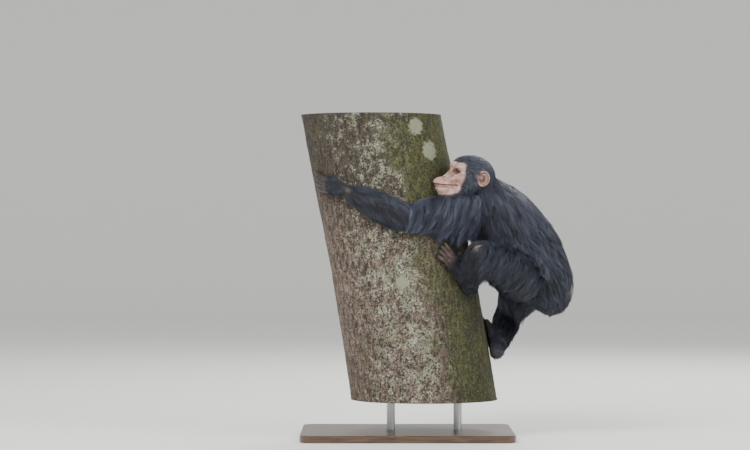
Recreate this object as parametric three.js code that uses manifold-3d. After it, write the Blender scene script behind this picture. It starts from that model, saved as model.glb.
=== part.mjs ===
// A young chimpanzee that clings to a leaning tree trunk, life size, as a museum model on a stand.
// Millimetres, +Z up. The origin is the middle of the underside of the stand's base.
// The animal climbs the +X side of the trunk, faces -X and shows its left side to -Y.
import * as THREE from 'three';
import { mergeVertices } from 'three/addons/utils/BufferGeometryUtils.js';
import Module from 'manifold-3d';

const wasm = await Module();
wasm.setup();

// Gap between neighbouring pieces.
const GAP = 0.3;

// Trunk: a cut length of a leaning tree.
const TRUNK_RADIUS = 252;
const TRUNK_FLARE = 12;
const TRUNK_FOOT = 136;
const TRUNK_TOP = 1159;
const TRUNK_FOOT_X = 62;
const TRUNK_TOP_X = -128;
const TRUNK_BOW = 6;
const TRUNK_SIDES = 36;
const TRUNK_RINGS = 8;
const BARK_SWELL = 3.5;

// Stand: a flat board and two rods that enter the trunk's foot.
const BASE_LENGTH = 760;
const BASE_WIDTH = 600;
const BASE_THICK = 26;
const BASE_CORNER = 40;
const BASE_BEVEL = 3;
const ROD_RADIUS = 15;
const ROD_SPREAD = 120;
const ROD_SIDES = 20;

// Lengths of the animal's parts.
const PALM_LENGTH = 86;
const FINGER_LENGTH = 86;
const HAND_WIDTH = 54;
const FOOT_LENGTH = 182;
const FOOT_WIDTH = 54;
const EYE_RADIUS = 11.5;
const EAR_HEIGHT = 58;
const EAR_WIDTH = 45;
const EAR_CUP = 9;
const EAR_AT = [-23, 69, -4];
const HEAD_SIDES = 28;
const HEAD_RINGS = 22;

// Depth of the coat over the skin.
const COAT = {
  back: 25,
  neck: 14,
  upper_arm: 19,
  forearm: 16,
  thigh: 16,
  shin: 13,
  head: 6,
};

// Share of the coat's depth that is dense and closed. Locks reach from it to the full depth.
const CORE_SHARE = 0.42;

// Locks of the coat: depth of a root, half thickness, and spread of places, lengths and lifts.
const LOCK_SINK = 5;
const LOCK_THICK = 3;
const LOCK_SEED = 7;
const LOCK_SCATTER = 0.45;
const LOCK_LENGTHS = [0.82, 1.15];
const LOCK_LIFTS = [0.8, 1];

// Hair needs this much room off the bark, turns no further to it than this cosine, and ends here.
const HAIR_ROOM = 18;
const HAIR_TURN = -0.45;
const HAIR_END = 0.97;

// Turn of the head: towards the viewer, nose up, and the near side lowered.
const HEAD_YAW = 27;
const HEAD_PITCH = 12;
const HEAD_ROLL = 8;

const v = (x, y, z) => new THREE.Vector3(x, y, z);
const rad = THREE.MathUtils.degToRad;
const lerp = THREE.MathUtils.lerp;

// Middle of the trunk at a height.
function trunkX(z) {
  const t = (z - TRUNK_FOOT) / (TRUNK_TOP - TRUNK_FOOT);
  return lerp(TRUNK_FOOT_X, TRUNK_TOP_X, t) + TRUNK_BOW * 4 * t * (1 - t);
}

function trunkRadius(z) {
  return TRUNK_RADIUS + TRUNK_FLARE * (TRUNK_TOP - z) / (TRUNK_TOP - TRUNK_FOOT);
}

// Point at an angle round the trunk, 0 towards -Y and 90 towards +X, at a height off its bark.
function onTrunk(angle, z, off) {
  const r = trunkRadius(z) + off;
  return v(trunkX(z) + r * Math.sin(angle), -r * Math.cos(angle), z);
}

// Where each hand and foot lies on the trunk. way is -1 where it reaches round towards -Y.
const GRIPS = {
  hand_left: { angle: rad(-33), z: 884, slope: rad(14), way: -1 },
  hand_right: { angle: rad(174), z: 872, slope: rad(20), way: 1 },
  foot_left: { angle: rad(56), z: 537, slope: rad(58), way: -1 },
  foot_right: { angle: rad(82), z: 304, slope: rad(40), way: 1 },
};

// Point of a hand or foot: along it, across it towards the thumb or big toe, and off the bark.
function gripPoint(grip, along, across, off) {
  const round = along * Math.cos(grip.slope) - across * Math.sin(grip.slope);
  const up = along * Math.sin(grip.slope) + across * Math.cos(grip.slope);
  return onTrunk(grip.angle + grip.way * round / TRUNK_RADIUS, grip.z + up, off);
}

// Joints of the skeleton.
const JOINTS = {
  shoulder_left: v(205, -142, 814),
  elbow_left: v(-12, -278, 788),
  wrist_left: gripPoint(GRIPS.hand_left, -8, 0, 30),
  shoulder_right: v(243, 50, 822),
  elbow_right: v(150, 272, 742),
  wrist_right: gripPoint(GRIPS.hand_right, -8, 0, 30),
  hip_left: v(424, -92, 563),
  knee_left: v(252, -266, 672),
  ankle_left: gripPoint(GRIPS.foot_left, 36, 0, 40),
  hip_right: v(430, 22, 550),
  knee_right: v(377, 195, 444),
  ankle_right: gripPoint(GRIPS.foot_right, 36, 0, 38),
};

// Frame of the head: forward, left and up, from a point level with the eyes.
const HEAD_AT = v(220, -166, 943);
const headFrame = (() => {
  const up0 = v(0, 0, 1);
  const forward0 = v(-Math.cos(rad(HEAD_YAW)), -Math.sin(rad(HEAD_YAW)), 0);
  const left0 = up0.clone().cross(forward0);
  const forward = forward0.clone().multiplyScalar(Math.cos(rad(HEAD_PITCH)));
  forward.addScaledVector(up0, Math.sin(rad(HEAD_PITCH)));
  const up1 = up0.clone().multiplyScalar(Math.cos(rad(HEAD_PITCH)));
  up1.addScaledVector(forward0, -Math.sin(rad(HEAD_PITCH)));
  const left = left0.clone().multiplyScalar(Math.cos(rad(HEAD_ROLL)));
  left.addScaledVector(up1, -Math.sin(rad(HEAD_ROLL)));
  const up = forward.clone().cross(left);
  return { forward, left, up };
})();

function headPoint(f, l, u) {
  const p = HEAD_AT.clone().addScaledVector(headFrame.forward, f);
  return p.addScaledVector(headFrame.left, l).addScaledVector(headFrame.up, u);
}

// Solids.

function solidOf(geometry) {
  const bare = geometry.clone();
  for (const name of Object.keys(bare.attributes)) {
    if (name !== 'position') bare.deleteAttribute(name);
  }
  const merged = mergeVertices(bare, 1e-4);
  return new wasm.Manifold(new wasm.Mesh({
    numProp: 3,
    vertProperties: new Float32Array(merged.attributes.position.array),
    triVerts: new Uint32Array(merged.index.array),
  }));
}

function largest(solid) {
  const pieces = solid.decompose();
  return pieces.reduce((best, piece) => (piece.volume() > best.volume() ? piece : best));
}

function join(solids) {
  return solids.reduce((whole, piece) => whole.add(piece));
}

function geometryOf(solid) {
  const mesh = solid.getMesh();
  const positions = new Float32Array(mesh.numVert * 3);
  for (let i = 0; i < mesh.numVert; i += 1) {
    for (let k = 0; k < 3; k += 1) positions[3 * i + k] = mesh.vertProperties[mesh.numProp * i + k];
  }
  const geometry = new THREE.BufferGeometry();
  geometry.setAttribute('position', new THREE.BufferAttribute(positions, 3));
  geometry.setIndex(new THREE.BufferAttribute(new Uint32Array(mesh.triVerts), 1));
  geometry.computeVertexNormals();
  return geometry;
}

// Smooth value through numbers at even steps.
function blend(values, t) {
  const last = values.length - 1;
  const s = Math.min(Math.max(t, 0), 1) * last;
  const i = Math.min(Math.floor(s), last - 1);
  const w = s - i;
  const at = (k) => values[Math.min(Math.max(k, 0), last)];
  const a = at(i - 1);
  const b = at(i);
  const c = at(i + 1);
  const d = at(i + 2);
  return b + 0.5 * w * (c - a + w * (2 * a - 5 * b + 4 * c - d + w * (3 * (b - c) + d - a)));
}

// A limb, body or digit: stations hold a middle point, a half width along side and a half depth.
// Both ends are domed. rootAt(t, angle) gives a root for hair: its spot and normal.
function makeForm({ stations, side, sides, rings, dome = 0.12, coat = 0 }) {
  const path = new THREE.CatmullRomCurve3(stations.map((s) => s.at), false, 'centripetal');
  const widths = stations.map((s) => s.wide);
  const depths = stations.map((s) => s.deep);
  const frameAt = (t) => {
    const along = path.getTangent(t).normalize();
    const across = side.clone().addScaledVector(along, -side.dot(along)).normalize();
    const out = along.clone().cross(across).normalize();
    return { at: path.getPoint(t), along, across, out };
  };
  const taper = (t) => {
    const e = Math.min(t, 1 - t) / dome;
    return e >= 1 ? 1 : Math.sqrt(Math.max(0, 1 - (1 - e) ** 2));
  };
  const surface = (t, angle, off) => {
    const { at, across, out } = frameAt(t);
    const k = taper(t);
    const w = (blend(widths, t) + off) * k;
    const d = (blend(depths, t) + off) * k;
    return at.addScaledVector(across, w * Math.cos(angle)).addScaledVector(out, d * Math.sin(angle));
  };
  const levels = [];
  for (let i = 0; i <= rings; i += 1) {
    levels.push(0.5 - 0.5 * Math.cos(Math.PI * lerp(0.16, 0.84, i / rings)));
  }
  const low = levels[0];
  const steps = levels.map((t) => lerp(dome * 0.25, 1 - dome * 0.25, (t - low) / (1 - 2 * low)));
  const geometry = (grow) => {
    const off = coat * CORE_SHARE + grow;
    const points = [];
    const faces = [];
    const ends = [frameAt(0), frameAt(1)];
    points.push(ends[0].at.addScaledVector(ends[0].along, -grow));
    points.push(ends[1].at.addScaledVector(ends[1].along, grow));
    for (const t of steps) {
      for (let j = 0; j < sides; j += 1) points.push(surface(t, (2 * Math.PI * j) / sides, off));
    }
    const ring = (i, j) => 2 + i * sides + (j % sides);
    for (let j = 0; j < sides; j += 1) {
      faces.push(0, ring(0, j + 1), ring(0, j));
      faces.push(1, ring(rings, j), ring(rings, j + 1));
      for (let i = 0; i < rings; i += 1) {
        faces.push(ring(i, j), ring(i, j + 1), ring(i + 1, j + 1));
        faces.push(ring(i, j), ring(i + 1, j + 1), ring(i + 1, j));
      }
    }
    return meshGeometry(points, faces);
  };
  const length = path.getLength();
  const rootAt = (t, angle) => {
    const { across, out } = frameAt(t);
    const spot = surface(t, angle, coat * CORE_SHARE);
    const normal = across.multiplyScalar(Math.cos(angle) / blend(widths, t));
    normal.addScaledVector(out, Math.sin(angle) / blend(depths, t)).normalize();
    return { spot, normal };
  };
  return { geometry, rootAt, coat, length };
}

function randomFrom(seed) {
  let state = seed;
  return () => {
    state = (state * 1664525 + 1013904223) % 4294967296;
    return state / 4294967296;
  };
}

const DOWN = v(0, 0, -1);

// One lock of hair: a flat tapered blade, rooted in the body, that bends over and follows it.
// steps holds the spot, normal and share of the width at the root, the bend, the middle and the tip.
function lockSolid({ steps, wide }, grow) {
  const tip = steps[3].spot;
  const points = [];
  steps.slice(0, 3).forEach(({ spot, normal, share }, i) => {
    const flow = steps[i + 1].spot.clone().sub(spot).normalize();
    const across = flow.cross(normal).normalize();
    const half = wide * 0.5 * share + grow;
    const thick = LOCK_THICK * share + grow;
    points.push(spot.clone().addScaledVector(across, half), spot.clone().addScaledVector(normal, thick));
    points.push(spot.clone().addScaledVector(across, -half), spot.clone().addScaledVector(normal, -thick));
  });
  const end = tip.clone().sub(steps[2].spot).setLength(grow);
  points.push(tip.clone().add(end));
  const faces = [0, 1, 2, 0, 2, 3];
  for (let j = 0; j < 4; j += 1) {
    const next = (j + 1) % 4;
    for (let i = 0; i < 8; i += 4) {
      faces.push(i + j, i + 4 + j, i + 4 + next, i + j, i + 4 + next, i + next);
    }
    faces.push(8 + j, 12, 8 + next);
  }
  return solidOf(meshGeometry(points, faces));
}

// Reach along a lock, height as a share of its lift, and width as a share, from root to tip.
const LOCK_STEPS = [[0, null, 0.62], [0.34, 0.72, 1], [0.7, 0.98, 0.72], [1, 0.9, 0]];

// Locks in rows round a form. way is 1 where the hair runs on along the form and -1 where it runs back.
function coatLocks(form, { rows, around, from, to, angles = [0, 360], length, wide, way = 1, droop, seed }) {
  const random = randomFrom(LOCK_SEED + seed);
  const locks = [];
  for (let i = 0; i < rows; i += 1) {
    for (let j = 0; j < around; j += 1) {
      const t = lerp(from, to, (i + 0.5 + (random() - 0.5) * LOCK_SCATTER) / rows);
      const turn = (j + 0.25 + 0.5 * (i % 2) + (random() - 0.5) * LOCK_SCATTER) / around;
      const angle = rad(lerp(angles[0], angles[1], turn));
      const reach = length * lerp(...LOCK_LENGTHS, random());
      const lift = form.coat * (1 - CORE_SHARE) * lerp(...LOCK_LIFTS, random());
      const root = form.rootAt(t, angle);
      const hang = DOWN.clone().multiplyScalar(droop);
      hang.addScaledVector(root.normal, -Math.min(hang.dot(root.normal), 0));
      const steps = LOCK_STEPS.map(([far, height, share]) => {
        const place = form.rootAt(Math.min(t + (way * far * reach) / form.length, HAIR_END), angle);
        const off = height === null ? -LOCK_SINK : height * lift;
        const spot = place.spot.addScaledVector(place.normal, off).addScaledVector(hang, far * far * reach);
        return { spot, normal: root.normal, share };
      });
      if (isClear(root)) locks.push({ steps, wide });
    }
  }
  return locks;
}

// Hair grows where there is room for it and doesn't face the trunk.
function isClear({ spot, normal }) {
  const outwards = v(spot.x - trunkX(spot.z), spot.y, 0);
  const room = outwards.length() - trunkRadius(spot.z);
  return room > HAIR_ROOM && normal.dot(outwards.normalize()) > HAIR_TURN;
}

function meshGeometry(points, faces) {
  const geometry = new THREE.BufferGeometry().setFromPoints(points);
  geometry.setIndex(faces);
  return geometry;
}

function formSolid(form, grow = 0) {
  return solidOf(form.geometry(grow));
}

const station = (at, wide, deep) => ({ at, wide, deep });

// Stations along a line between two joints from lists of half widths and half depths.
function between(from, to, wides, deeps, bow = v(0, 0, 0)) {
  return wides.map((wide, i) => {
    const t = i / (wides.length - 1);
    const at = from.clone().lerp(to, t).addScaledVector(bow, 4 * t * (1 - t));
    return station(at, wide, deeps[i]);
  });
}

// Trunk and stand.

function trunkSolid(grow = 0) {
  const height = TRUNK_TOP - TRUNK_FOOT;
  const geometry = new THREE.CylinderGeometry(1, 1, height, TRUNK_SIDES, TRUNK_RINGS);
  geometry.rotateX(Math.PI / 2);
  geometry.translate(0, 0, TRUNK_FOOT + height / 2);
  const spots = geometry.attributes.position;
  for (let i = 0; i < spots.count; i += 1) {
    const z = spots.getZ(i);
    const turn = Math.atan2(spots.getY(i), spots.getX(i));
    const reach = Math.hypot(spots.getX(i), spots.getY(i));
    const swell = BARK_SWELL * (Math.sin(3 * turn + z / 210) * 0.6 + Math.sin(7 * turn - z / 130) * 0.4);
    const r = (trunkRadius(z) + swell + grow) * reach;
    spots.setXYZ(i, trunkX(z) + r * Math.cos(turn), r * Math.sin(turn), z);
  }
  return solidOf(geometry);
}

function baseSolid() {
  const x = BASE_LENGTH / 2 - BASE_BEVEL;
  const y = BASE_WIDTH / 2 - BASE_BEVEL;
  const r = BASE_CORNER;
  const outline = new THREE.Shape();
  outline.moveTo(-x + r, -y);
  outline.lineTo(x - r, -y);
  outline.absarc(x - r, -y + r, r, -Math.PI / 2, 0);
  outline.absarc(x - r, y - r, r, 0, Math.PI / 2);
  outline.absarc(-x + r, y - r, r, Math.PI / 2, Math.PI);
  outline.absarc(-x + r, -y + r, r, Math.PI, 1.5 * Math.PI);
  const depth = BASE_THICK - BASE_BEVEL;
  const geometry = new THREE.ExtrudeGeometry(outline, {
    depth: depth - BASE_BEVEL, bevelThickness: BASE_BEVEL, bevelSize: BASE_BEVEL,
    bevelSegments: 1, curveSegments: 4, steps: 1,
  });
  geometry.translate(0, 0, BASE_BEVEL);
  return solidOf(geometry);
}

function rodSolid(side) {
  const foot = BASE_THICK + GAP;
  const top = TRUNK_FOOT - GAP;
  const geometry = new THREE.CylinderGeometry(ROD_RADIUS, ROD_RADIUS, top - foot, ROD_SIDES, 1);
  geometry.rotateX(Math.PI / 2);
  geometry.translate(TRUNK_FOOT_X + side * ROD_SPREAD, 0, (foot + top) / 2);
  return solidOf(geometry);
}

// Body.

const ACROSS = v(0, 1, 0);

const torsoForm = makeForm({
  stations: [
    station(v(260, -72, 878), 40, 38),
    station(v(292, -54, 833), 92, 74),
    station(v(337, -47, 780), 102, 98),
    station(v(385, -44, 725), 98, 101),
    station(v(433, -40, 671), 92, 95),
    station(v(474, -36, 614), 88, 80),
    station(v(503, -33, 556), 82, 72),
    station(v(518, -32, 503), 66, 56),
    station(v(513, -30, 458), 40, 36),
  ],
  side: ACROSS,
  sides: 20,
  rings: 12,
  coat: COAT.back,
});

const neckForm = makeForm({
  stations: [
    station(headPoint(-26, 0, -6), 46, 46),
    station(headPoint(-44, 4, -34).lerp(v(300, -66, 856), 0.35), 48, 48),
    station(v(306, -60, 848), 54, 50),
  ],
  side: ACROSS,
  sides: 16,
  rings: 4,
  coat: COAT.neck,
});

// The shoulder's muscle starts this far inside the chest.
const SHOULDER_ROOT = 46;

function shoulderRoot(side) {
  const inwards = v(300, -45, 815).sub(JOINTS[`shoulder_${side}`]).setLength(SHOULDER_ROOT);
  return JOINTS[`shoulder_${side}`].clone().add(inwards);
}

const limbForms = {
  upper_arm_left: makeForm({
    stations: between(shoulderRoot('left'), JOINTS.elbow_left, [50, 45, 36, 31, 27], [54, 48, 37, 32, 27]),
    side: ACROSS, sides: 12, rings: 6, coat: COAT.upper_arm,
  }),
  forearm_left: makeForm({
    stations: between(JOINTS.elbow_left, JOINTS.wrist_left, [26, 31, 28, 22, 18], [26, 29, 26, 20, 14]),
    side: v(0, 0, 1), sides: 12, rings: 6, coat: COAT.forearm,
  }),
  upper_arm_right: makeForm({
    stations: between(shoulderRoot('right'), JOINTS.elbow_right, [50, 45, 36, 31, 27], [54, 48, 37, 32, 27]),
    side: v(1, 0, 0), sides: 12, rings: 6, coat: COAT.upper_arm,
  }),
  forearm_right: makeForm({
    stations: between(JOINTS.elbow_right, JOINTS.wrist_right, [26, 31, 28, 22, 18], [26, 29, 26, 20, 14]),
    side: v(0, 0, 1), sides: 12, rings: 6, coat: COAT.forearm,
  }),
  thigh_left: makeForm({
    stations: between(JOINTS.hip_left, JOINTS.knee_left, [62, 62, 54, 42, 32], [66, 64, 52, 40, 30]),
    side: v(0, 0, 1), sides: 14, rings: 6, coat: COAT.thigh,
  }),
  shin_left: makeForm({
    stations: between(JOINTS.knee_left, JOINTS.ankle_left, [30, 35, 32, 25, 22], [30, 36, 32, 25, 22]),
    side: v(1, 0, 0), sides: 12, rings: 6, coat: COAT.shin,
  }),
  thigh_right: makeForm({
    stations: between(JOINTS.hip_right, JOINTS.knee_right, [62, 62, 54, 42, 32], [66, 64, 52, 40, 30]),
    side: v(0, 0, 1), sides: 14, rings: 6, coat: COAT.thigh,
  }),
  shin_right: makeForm({
    stations: between(JOINTS.knee_right, JOINTS.ankle_right, [30, 35, 32, 25, 22], [30, 36, 32, 25, 22]),
    side: v(1, 0, 0), sides: 12, rings: 6, coat: COAT.shin,
  }),
};

// A digit of a hand or foot on the bark: ends are [along, across], heights are off the bark.
function digitForm(grip, from, to, thick, heights) {
  const stations = heights.map((off, i) => {
    const t = i / (heights.length - 1);
    const at = gripPoint(grip, lerp(from[0], to[0], t), lerp(from[1], to[1], t), off);
    const r = thick * lerp(1.08, 0.8, t);
    return station(at, r, r);
  });
  return makeForm({ stations, side: v(0, 0, 1), sides: 6, rings: 3, dome: 0.14 });
}

function handForms(grip) {
  const palm = makeForm({
    stations: [
      station(gripPoint(grip, -26, 0, 31), 20, 15),
      station(gripPoint(grip, 8, 0, 26), 23, 16),
      station(gripPoint(grip, 38, 1, 20), HAND_WIDTH * 0.48, 15),
      station(gripPoint(grip, 68, 1, 17), HAND_WIDTH * 0.52, 14),
      station(gripPoint(grip, PALM_LENGTH + 10, 1, 14), HAND_WIDTH * 0.42, 11),
    ],
    side: v(0, 0, 1), sides: 12, rings: 6, dome: 0.16,
  });
  const reaches = [0.9, 1, 0.95, 0.78];
  const fingers = reaches.map((reach, i) => {
    const across = HAND_WIDTH * (0.375 - 0.25 * i) + 1;
    const tip = [PALM_LENGTH + FINGER_LENGTH * reach, across * 1.45];
    return digitForm(grip, [PALM_LENGTH - 16, across * 0.9], tip, 8.6, [13, 16, 15, 11, 7]);
  });
  const thumb = digitForm(grip, [18, 14], [66, 42], 8.8, [14, 15, 12, 8]);
  return [palm, ...fingers, thumb];
}

function footForms(grip) {
  const sole = makeForm({
    stations: [
      station(gripPoint(grip, -10, -2, 20), 18, 17),
      station(gripPoint(grip, 14, -2, 26), 25, 27),
      station(gripPoint(grip, 44, 0, 30), 27, 29),
      station(gripPoint(grip, 80, 0, 22), FOOT_WIDTH * 0.54, 21),
      station(gripPoint(grip, 118, -3, 15), FOOT_WIDTH * 0.52, 14),
      station(gripPoint(grip, 144, -4, 12), FOOT_WIDTH * 0.36, 10),
    ],
    side: v(0, 0, 1), sides: 12, rings: 7, dome: 0.14,
  });
  const reaches = [1, 0.99, 0.95, 0.88];
  const toes = reaches.map((reach, i) => {
    const across = FOOT_WIDTH * (0.33 - 0.25 * i) - 1;
    const tip = [FOOT_LENGTH * reach, across * 1.35 - 2];
    return digitForm(grip, [118, across], tip, 7.8, [12, 15, 13, 7]);
  });
  const big = digitForm(grip, [62, 16], [118, 56], 12, [16, 17, 14, 10]);
  return [sole, ...toes, big];
}

// Head. Its shape is a blend of rounded masses in the head's own frame.
const ball = (f, l, u, rf, rl, ru) => ({ kind: 'ball', f, l, u, rf, rl, ru });
const bar = (a, b, ra, rb) => ({ kind: 'bar', a, b, ra, rb });

const HEAD_MASSES = [
  ball(-8, 0, 10, 80, 61, 54),
  ball(20, 0, 20, 48, 48, 34),
  bar([70, 0, 17], [56, 36, 13], 10, 9),
  bar([66, 0, 4], [84, 0, -26], 10, 10),
  ball(36, 37, -18, 28, 22, 28),
  ball(74, 0, -46, 50, 37, 28),
  ball(99, 0, -51, 33, 31, 17),
  ball(90, 0, -77, 33, 27, 14),
  ball(66, 0, -74, 44, 32, 22),
  bar([6, 38, -38], [62, 18, -74], 22, 18),
];
const BLEND = 10;
const EYE_AT = [51, 22, 0];
const SOCKET = ball(62, 23, -1, 15, 17, 11);
const FACE_BACK = 34;
const HEAD_CENTRE = [30, 0, -16];
const MOUTH_CORNER = 54;
const MOUTH_DEPTH = 4;
const MOUTH_HALF = 1.4;
const LID_THICK = 3;

function ballField(m, f, l, u) {
  const x = (f - m.f) / m.rf;
  const y = (l - m.l) / m.rl;
  const z = (u - m.u) / m.ru;
  const k = Math.hypot(x, y, z);
  const g = Math.hypot(x / m.rf, y / m.rl, z / m.ru);
  return g === 0 ? -Math.min(m.rf, m.rl, m.ru) : (k * (k - 1)) / g;
}

function barField(m, f, l, u) {
  const a = v(...m.a);
  const d = v(...m.b).sub(a);
  const p = v(f, l, u).sub(a);
  const h = Math.min(Math.max(p.dot(d) / d.lengthSq(), 0), 1);
  return p.addScaledVector(d, -h).length() - lerp(m.ra, m.rb, h);
}

function softMin(a, b, k) {
  const h = Math.max(k - Math.abs(a - b), 0) / k;
  return Math.min(a, b) - h * h * k * 0.25;
}

// Signed distance from the skin of the head, with the coat on all but the face.
function headField(f, side, u) {
  const l = Math.abs(side);
  const fields = HEAD_MASSES.map((m) => (m.kind === 'ball' ? ballField(m, f, l, u) : barField(m, f, l, u)));
  const skin = fields.reduce((d, one) => softMin(d, one, BLEND));
  const bare = THREE.MathUtils.smoothstep(f, FACE_BACK, FACE_BACK + 30);
  const coated = skin - COAT.head * (1 - bare);
  return -softMin(-coated, ballField(SOCKET, f, l, u), 5);
}

// The head as a closed surface, found along rays from its middle. Rings are closer on the face.
function headGeometry(grow, sides, rings) {
  const reachAlong = (df, dl, du) => {
    const at = (r) => headField(HEAD_CENTRE[0] + df * r, dl * r, HEAD_CENTRE[2] + du * r) - grow;
    let far = 170;
    while (at(far) > 0.02 && far > 5) far -= Math.max(at(far) * 0.7, 0.02);
    return far;
  };
  const spot = (ring, j) => {
    const t = ring / rings;
    const tilt = Math.PI * (0.62 * t + 0.38 * t * t);
    const turn = (2 * Math.PI * (j + 0.5)) / sides;
    const df = Math.cos(tilt);
    const dl = Math.sin(tilt) * Math.cos(turn);
    const du = Math.sin(tilt) * Math.sin(turn);
    const r = reachAlong(df, dl, du);
    return headPoint(HEAD_CENTRE[0] + df * r, dl * r, HEAD_CENTRE[2] + du * r);
  };
  const points = [spot(0, 0), spot(rings, 0)];
  const faces = [];
  for (let i = 1; i < rings; i += 1) {
    for (let j = 0; j < sides; j += 1) points.push(spot(i, j));
  }
  const at = (i, j) => 2 + (i - 1) * sides + (j % sides);
  for (let j = 0; j < sides; j += 1) {
    faces.push(0, at(1, j), at(1, j + 1));
    faces.push(1, at(rings - 1, j + 1), at(rings - 1, j));
    for (let i = 1; i < rings - 1; i += 1) {
      faces.push(at(i, j), at(i + 1, j), at(i + 1, j + 1));
      faces.push(at(i, j), at(i + 1, j + 1), at(i, j + 1));
    }
  }
  return meshGeometry(points, faces);
}

// A geometry drawn in the head's frame (x forward, y left, z up), moved to its place.
function placeOnHead(geometry, f, l, u) {
  const basis = new THREE.Matrix4().makeBasis(headFrame.forward, headFrame.left, headFrame.up);
  geometry.applyMatrix4(basis);
  const at = headPoint(f, l, u);
  geometry.translate(at.x, at.y, at.z);
  return geometry;
}

function eyeSolid(side, grow) {
  const geometry = new THREE.SphereGeometry(EYE_RADIUS + grow, 14, 9);
  return solidOf(placeOnHead(geometry, EYE_AT[0], side * EYE_AT[1], EYE_AT[2]));
}

// Lids: a thin shell over the eye, open in an almond at the front.
function lidSolid(side) {
  const shell = new THREE.SphereGeometry(EYE_RADIUS + LID_THICK, 12, 8);
  const lids = solidOf(placeOnHead(shell, EYE_AT[0], side * EYE_AT[1], EYE_AT[2]));
  const almond = new THREE.SphereGeometry(1, 12, 6);
  almond.scale(16, 12.5, 6.2);
  const opening = solidOf(placeOnHead(almond, EYE_AT[0] + 13, side * (EYE_AT[1] + 1), EYE_AT[2]));
  return lids.subtract(opening);
}

// The line between the lips: a thin slab that cuts only a little way in.
function mouthSolid(inner) {
  const shape = new THREE.Shape();
  shape.moveTo(MOUTH_CORNER, -47.5);
  shape.quadraticCurveTo(92, -53, 150, -68 + MOUTH_HALF);
  shape.lineTo(150, -68 - MOUTH_HALF);
  shape.quadraticCurveTo(92, -55 - MOUTH_HALF, MOUTH_CORNER, -48.5);
  const geometry = new THREE.ExtrudeGeometry(shape, { depth: 120, bevelEnabled: false, curveSegments: 6 });
  geometry.translate(0, 0, -60);
  geometry.rotateX(Math.PI / 2);
  return solidOf(placeOnHead(geometry, 0, 0, 0)).subtract(inner);
}

function nostrilSolid(side) {
  const geometry = new THREE.SphereGeometry(1, 8, 6);
  geometry.scale(6, 3, 3.4);
  return solidOf(placeOnHead(geometry, 93, side * 7, -32));
}

function headSolid(grow = 0) {
  const face = solidOf(headGeometry(grow, HEAD_SIDES, HEAD_RINGS));
  const whole = join([face, lidSolid(1), lidSolid(-1)]).intersect(halfSpace(NAPE_AT, NAPE_FACING, grow));
  if (grow > 0) return whole;
  const inner = solidOf(headGeometry(-MOUTH_DEPTH, 16, 14));
  const cuts = [mouthSolid(inner), nostrilSolid(1), nostrilSolid(-1)];
  return cuts.reduce((solid, cut) => solid.subtract(cut), whole);
}

function neckSolid(grow = 0) {
  return formSolid(neckForm, grow).intersect(halfSpace(NAPE_AT, NAPE_FACING.clone().negate(), grow - GAP));
}

// An ear: a cupped plate with a thicker rim, that opens forwards and outwards.
function earSolid(side, grow = 0) {
  const sides = 18;
  const rings = 4;
  const facing = rad(40);
  const spot = (ring, j, back) => {
    const reach = ring / rings;
    const turn = (2 * Math.PI * j) / sides;
    const rim = THREE.MathUtils.smoothstep(reach, 0.7, 1);
    const x = (EAR_WIDTH / 2 + grow) * reach * Math.cos(turn);
    const y = (EAR_HEIGHT / 2 + grow) * reach * Math.sin(turn) * (1 - 0.12 * Math.cos(turn));
    const cup = -EAR_CUP * (1 - reach * reach);
    const thick = lerp(2.6, 3.4, rim) * Math.sqrt(Math.max(0, 1 - reach ** 6)) + grow;
    const z = cup + (back ? -thick : thick);
    const out = x * Math.sin(facing) + z * Math.cos(facing);
    const front = z * Math.sin(facing) - x * Math.cos(facing);
    return headPoint(EAR_AT[0] + front, side * (EAR_AT[1] + out), EAR_AT[2] + y);
  };
  const points = [spot(0, 0, false), spot(0, 0, true)];
  const faces = [];
  for (let i = 1; i < rings; i += 1) for (let j = 0; j < sides; j += 1) points.push(spot(i, j, false));
  for (let j = 0; j < sides; j += 1) points.push(spot(rings, j, false).lerp(spot(rings, j, true), 0.5));
  for (let i = rings - 1; i > 0; i -= 1) for (let j = 0; j < sides; j += 1) points.push(spot(i, j, true));
  const at = (i, j) => 2 + i * sides + (j % sides);
  const last = 2 * rings - 2;
  const add = (a, b, c) => (side > 0 ? faces.push(a, c, b) : faces.push(a, b, c));
  for (let j = 0; j < sides; j += 1) {
    add(0, at(0, j + 1), at(0, j));
    add(1, at(last, j), at(last, j + 1));
    for (let i = 0; i < last; i += 1) {
      add(at(i, j), at(i, j + 1), at(i + 1, j + 1));
      add(at(i, j), at(i + 1, j + 1), at(i + 1, j));
    }
  }
  return solidOf(meshGeometry(points, faces));
}

// Half of space, as a great block that ends at a point, with its face looking along a direction.
function halfSpace(at, facing, grow = 0) {
  const size = 4000;
  const block = new THREE.BoxGeometry(size, size, size);
  block.translate(0, 0, -size / 2 + grow);
  block.applyQuaternion(new THREE.Quaternion().setFromUnitVectors(v(0, 0, 1), facing.clone().normalize()));
  block.translate(at.x, at.y, at.z);
  return solidOf(block);
}

const WAIST_AT = v(424, -41, 692);
const WAIST_FACING = v(0.6, 0, -0.8);
const NAPE_FACING = v(0.52, 0.64, -0.57).normalize();
const NAPE_AT = HEAD_AT.clone().addScaledVector(NAPE_FACING, 52);

function chestSolid(grow = 0) {
  return formSolid(torsoForm, grow).intersect(halfSpace(WAIST_AT, WAIST_FACING, grow));
}

function hipsSolid(grow = 0) {
  return formSolid(torsoForm, grow).intersect(halfSpace(WAIST_AT, WAIST_FACING.clone().negate(), grow));
}

const gripSolid = (forms) => (grow) => join(forms.map((form) => formSolid(form, grow)));

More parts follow.
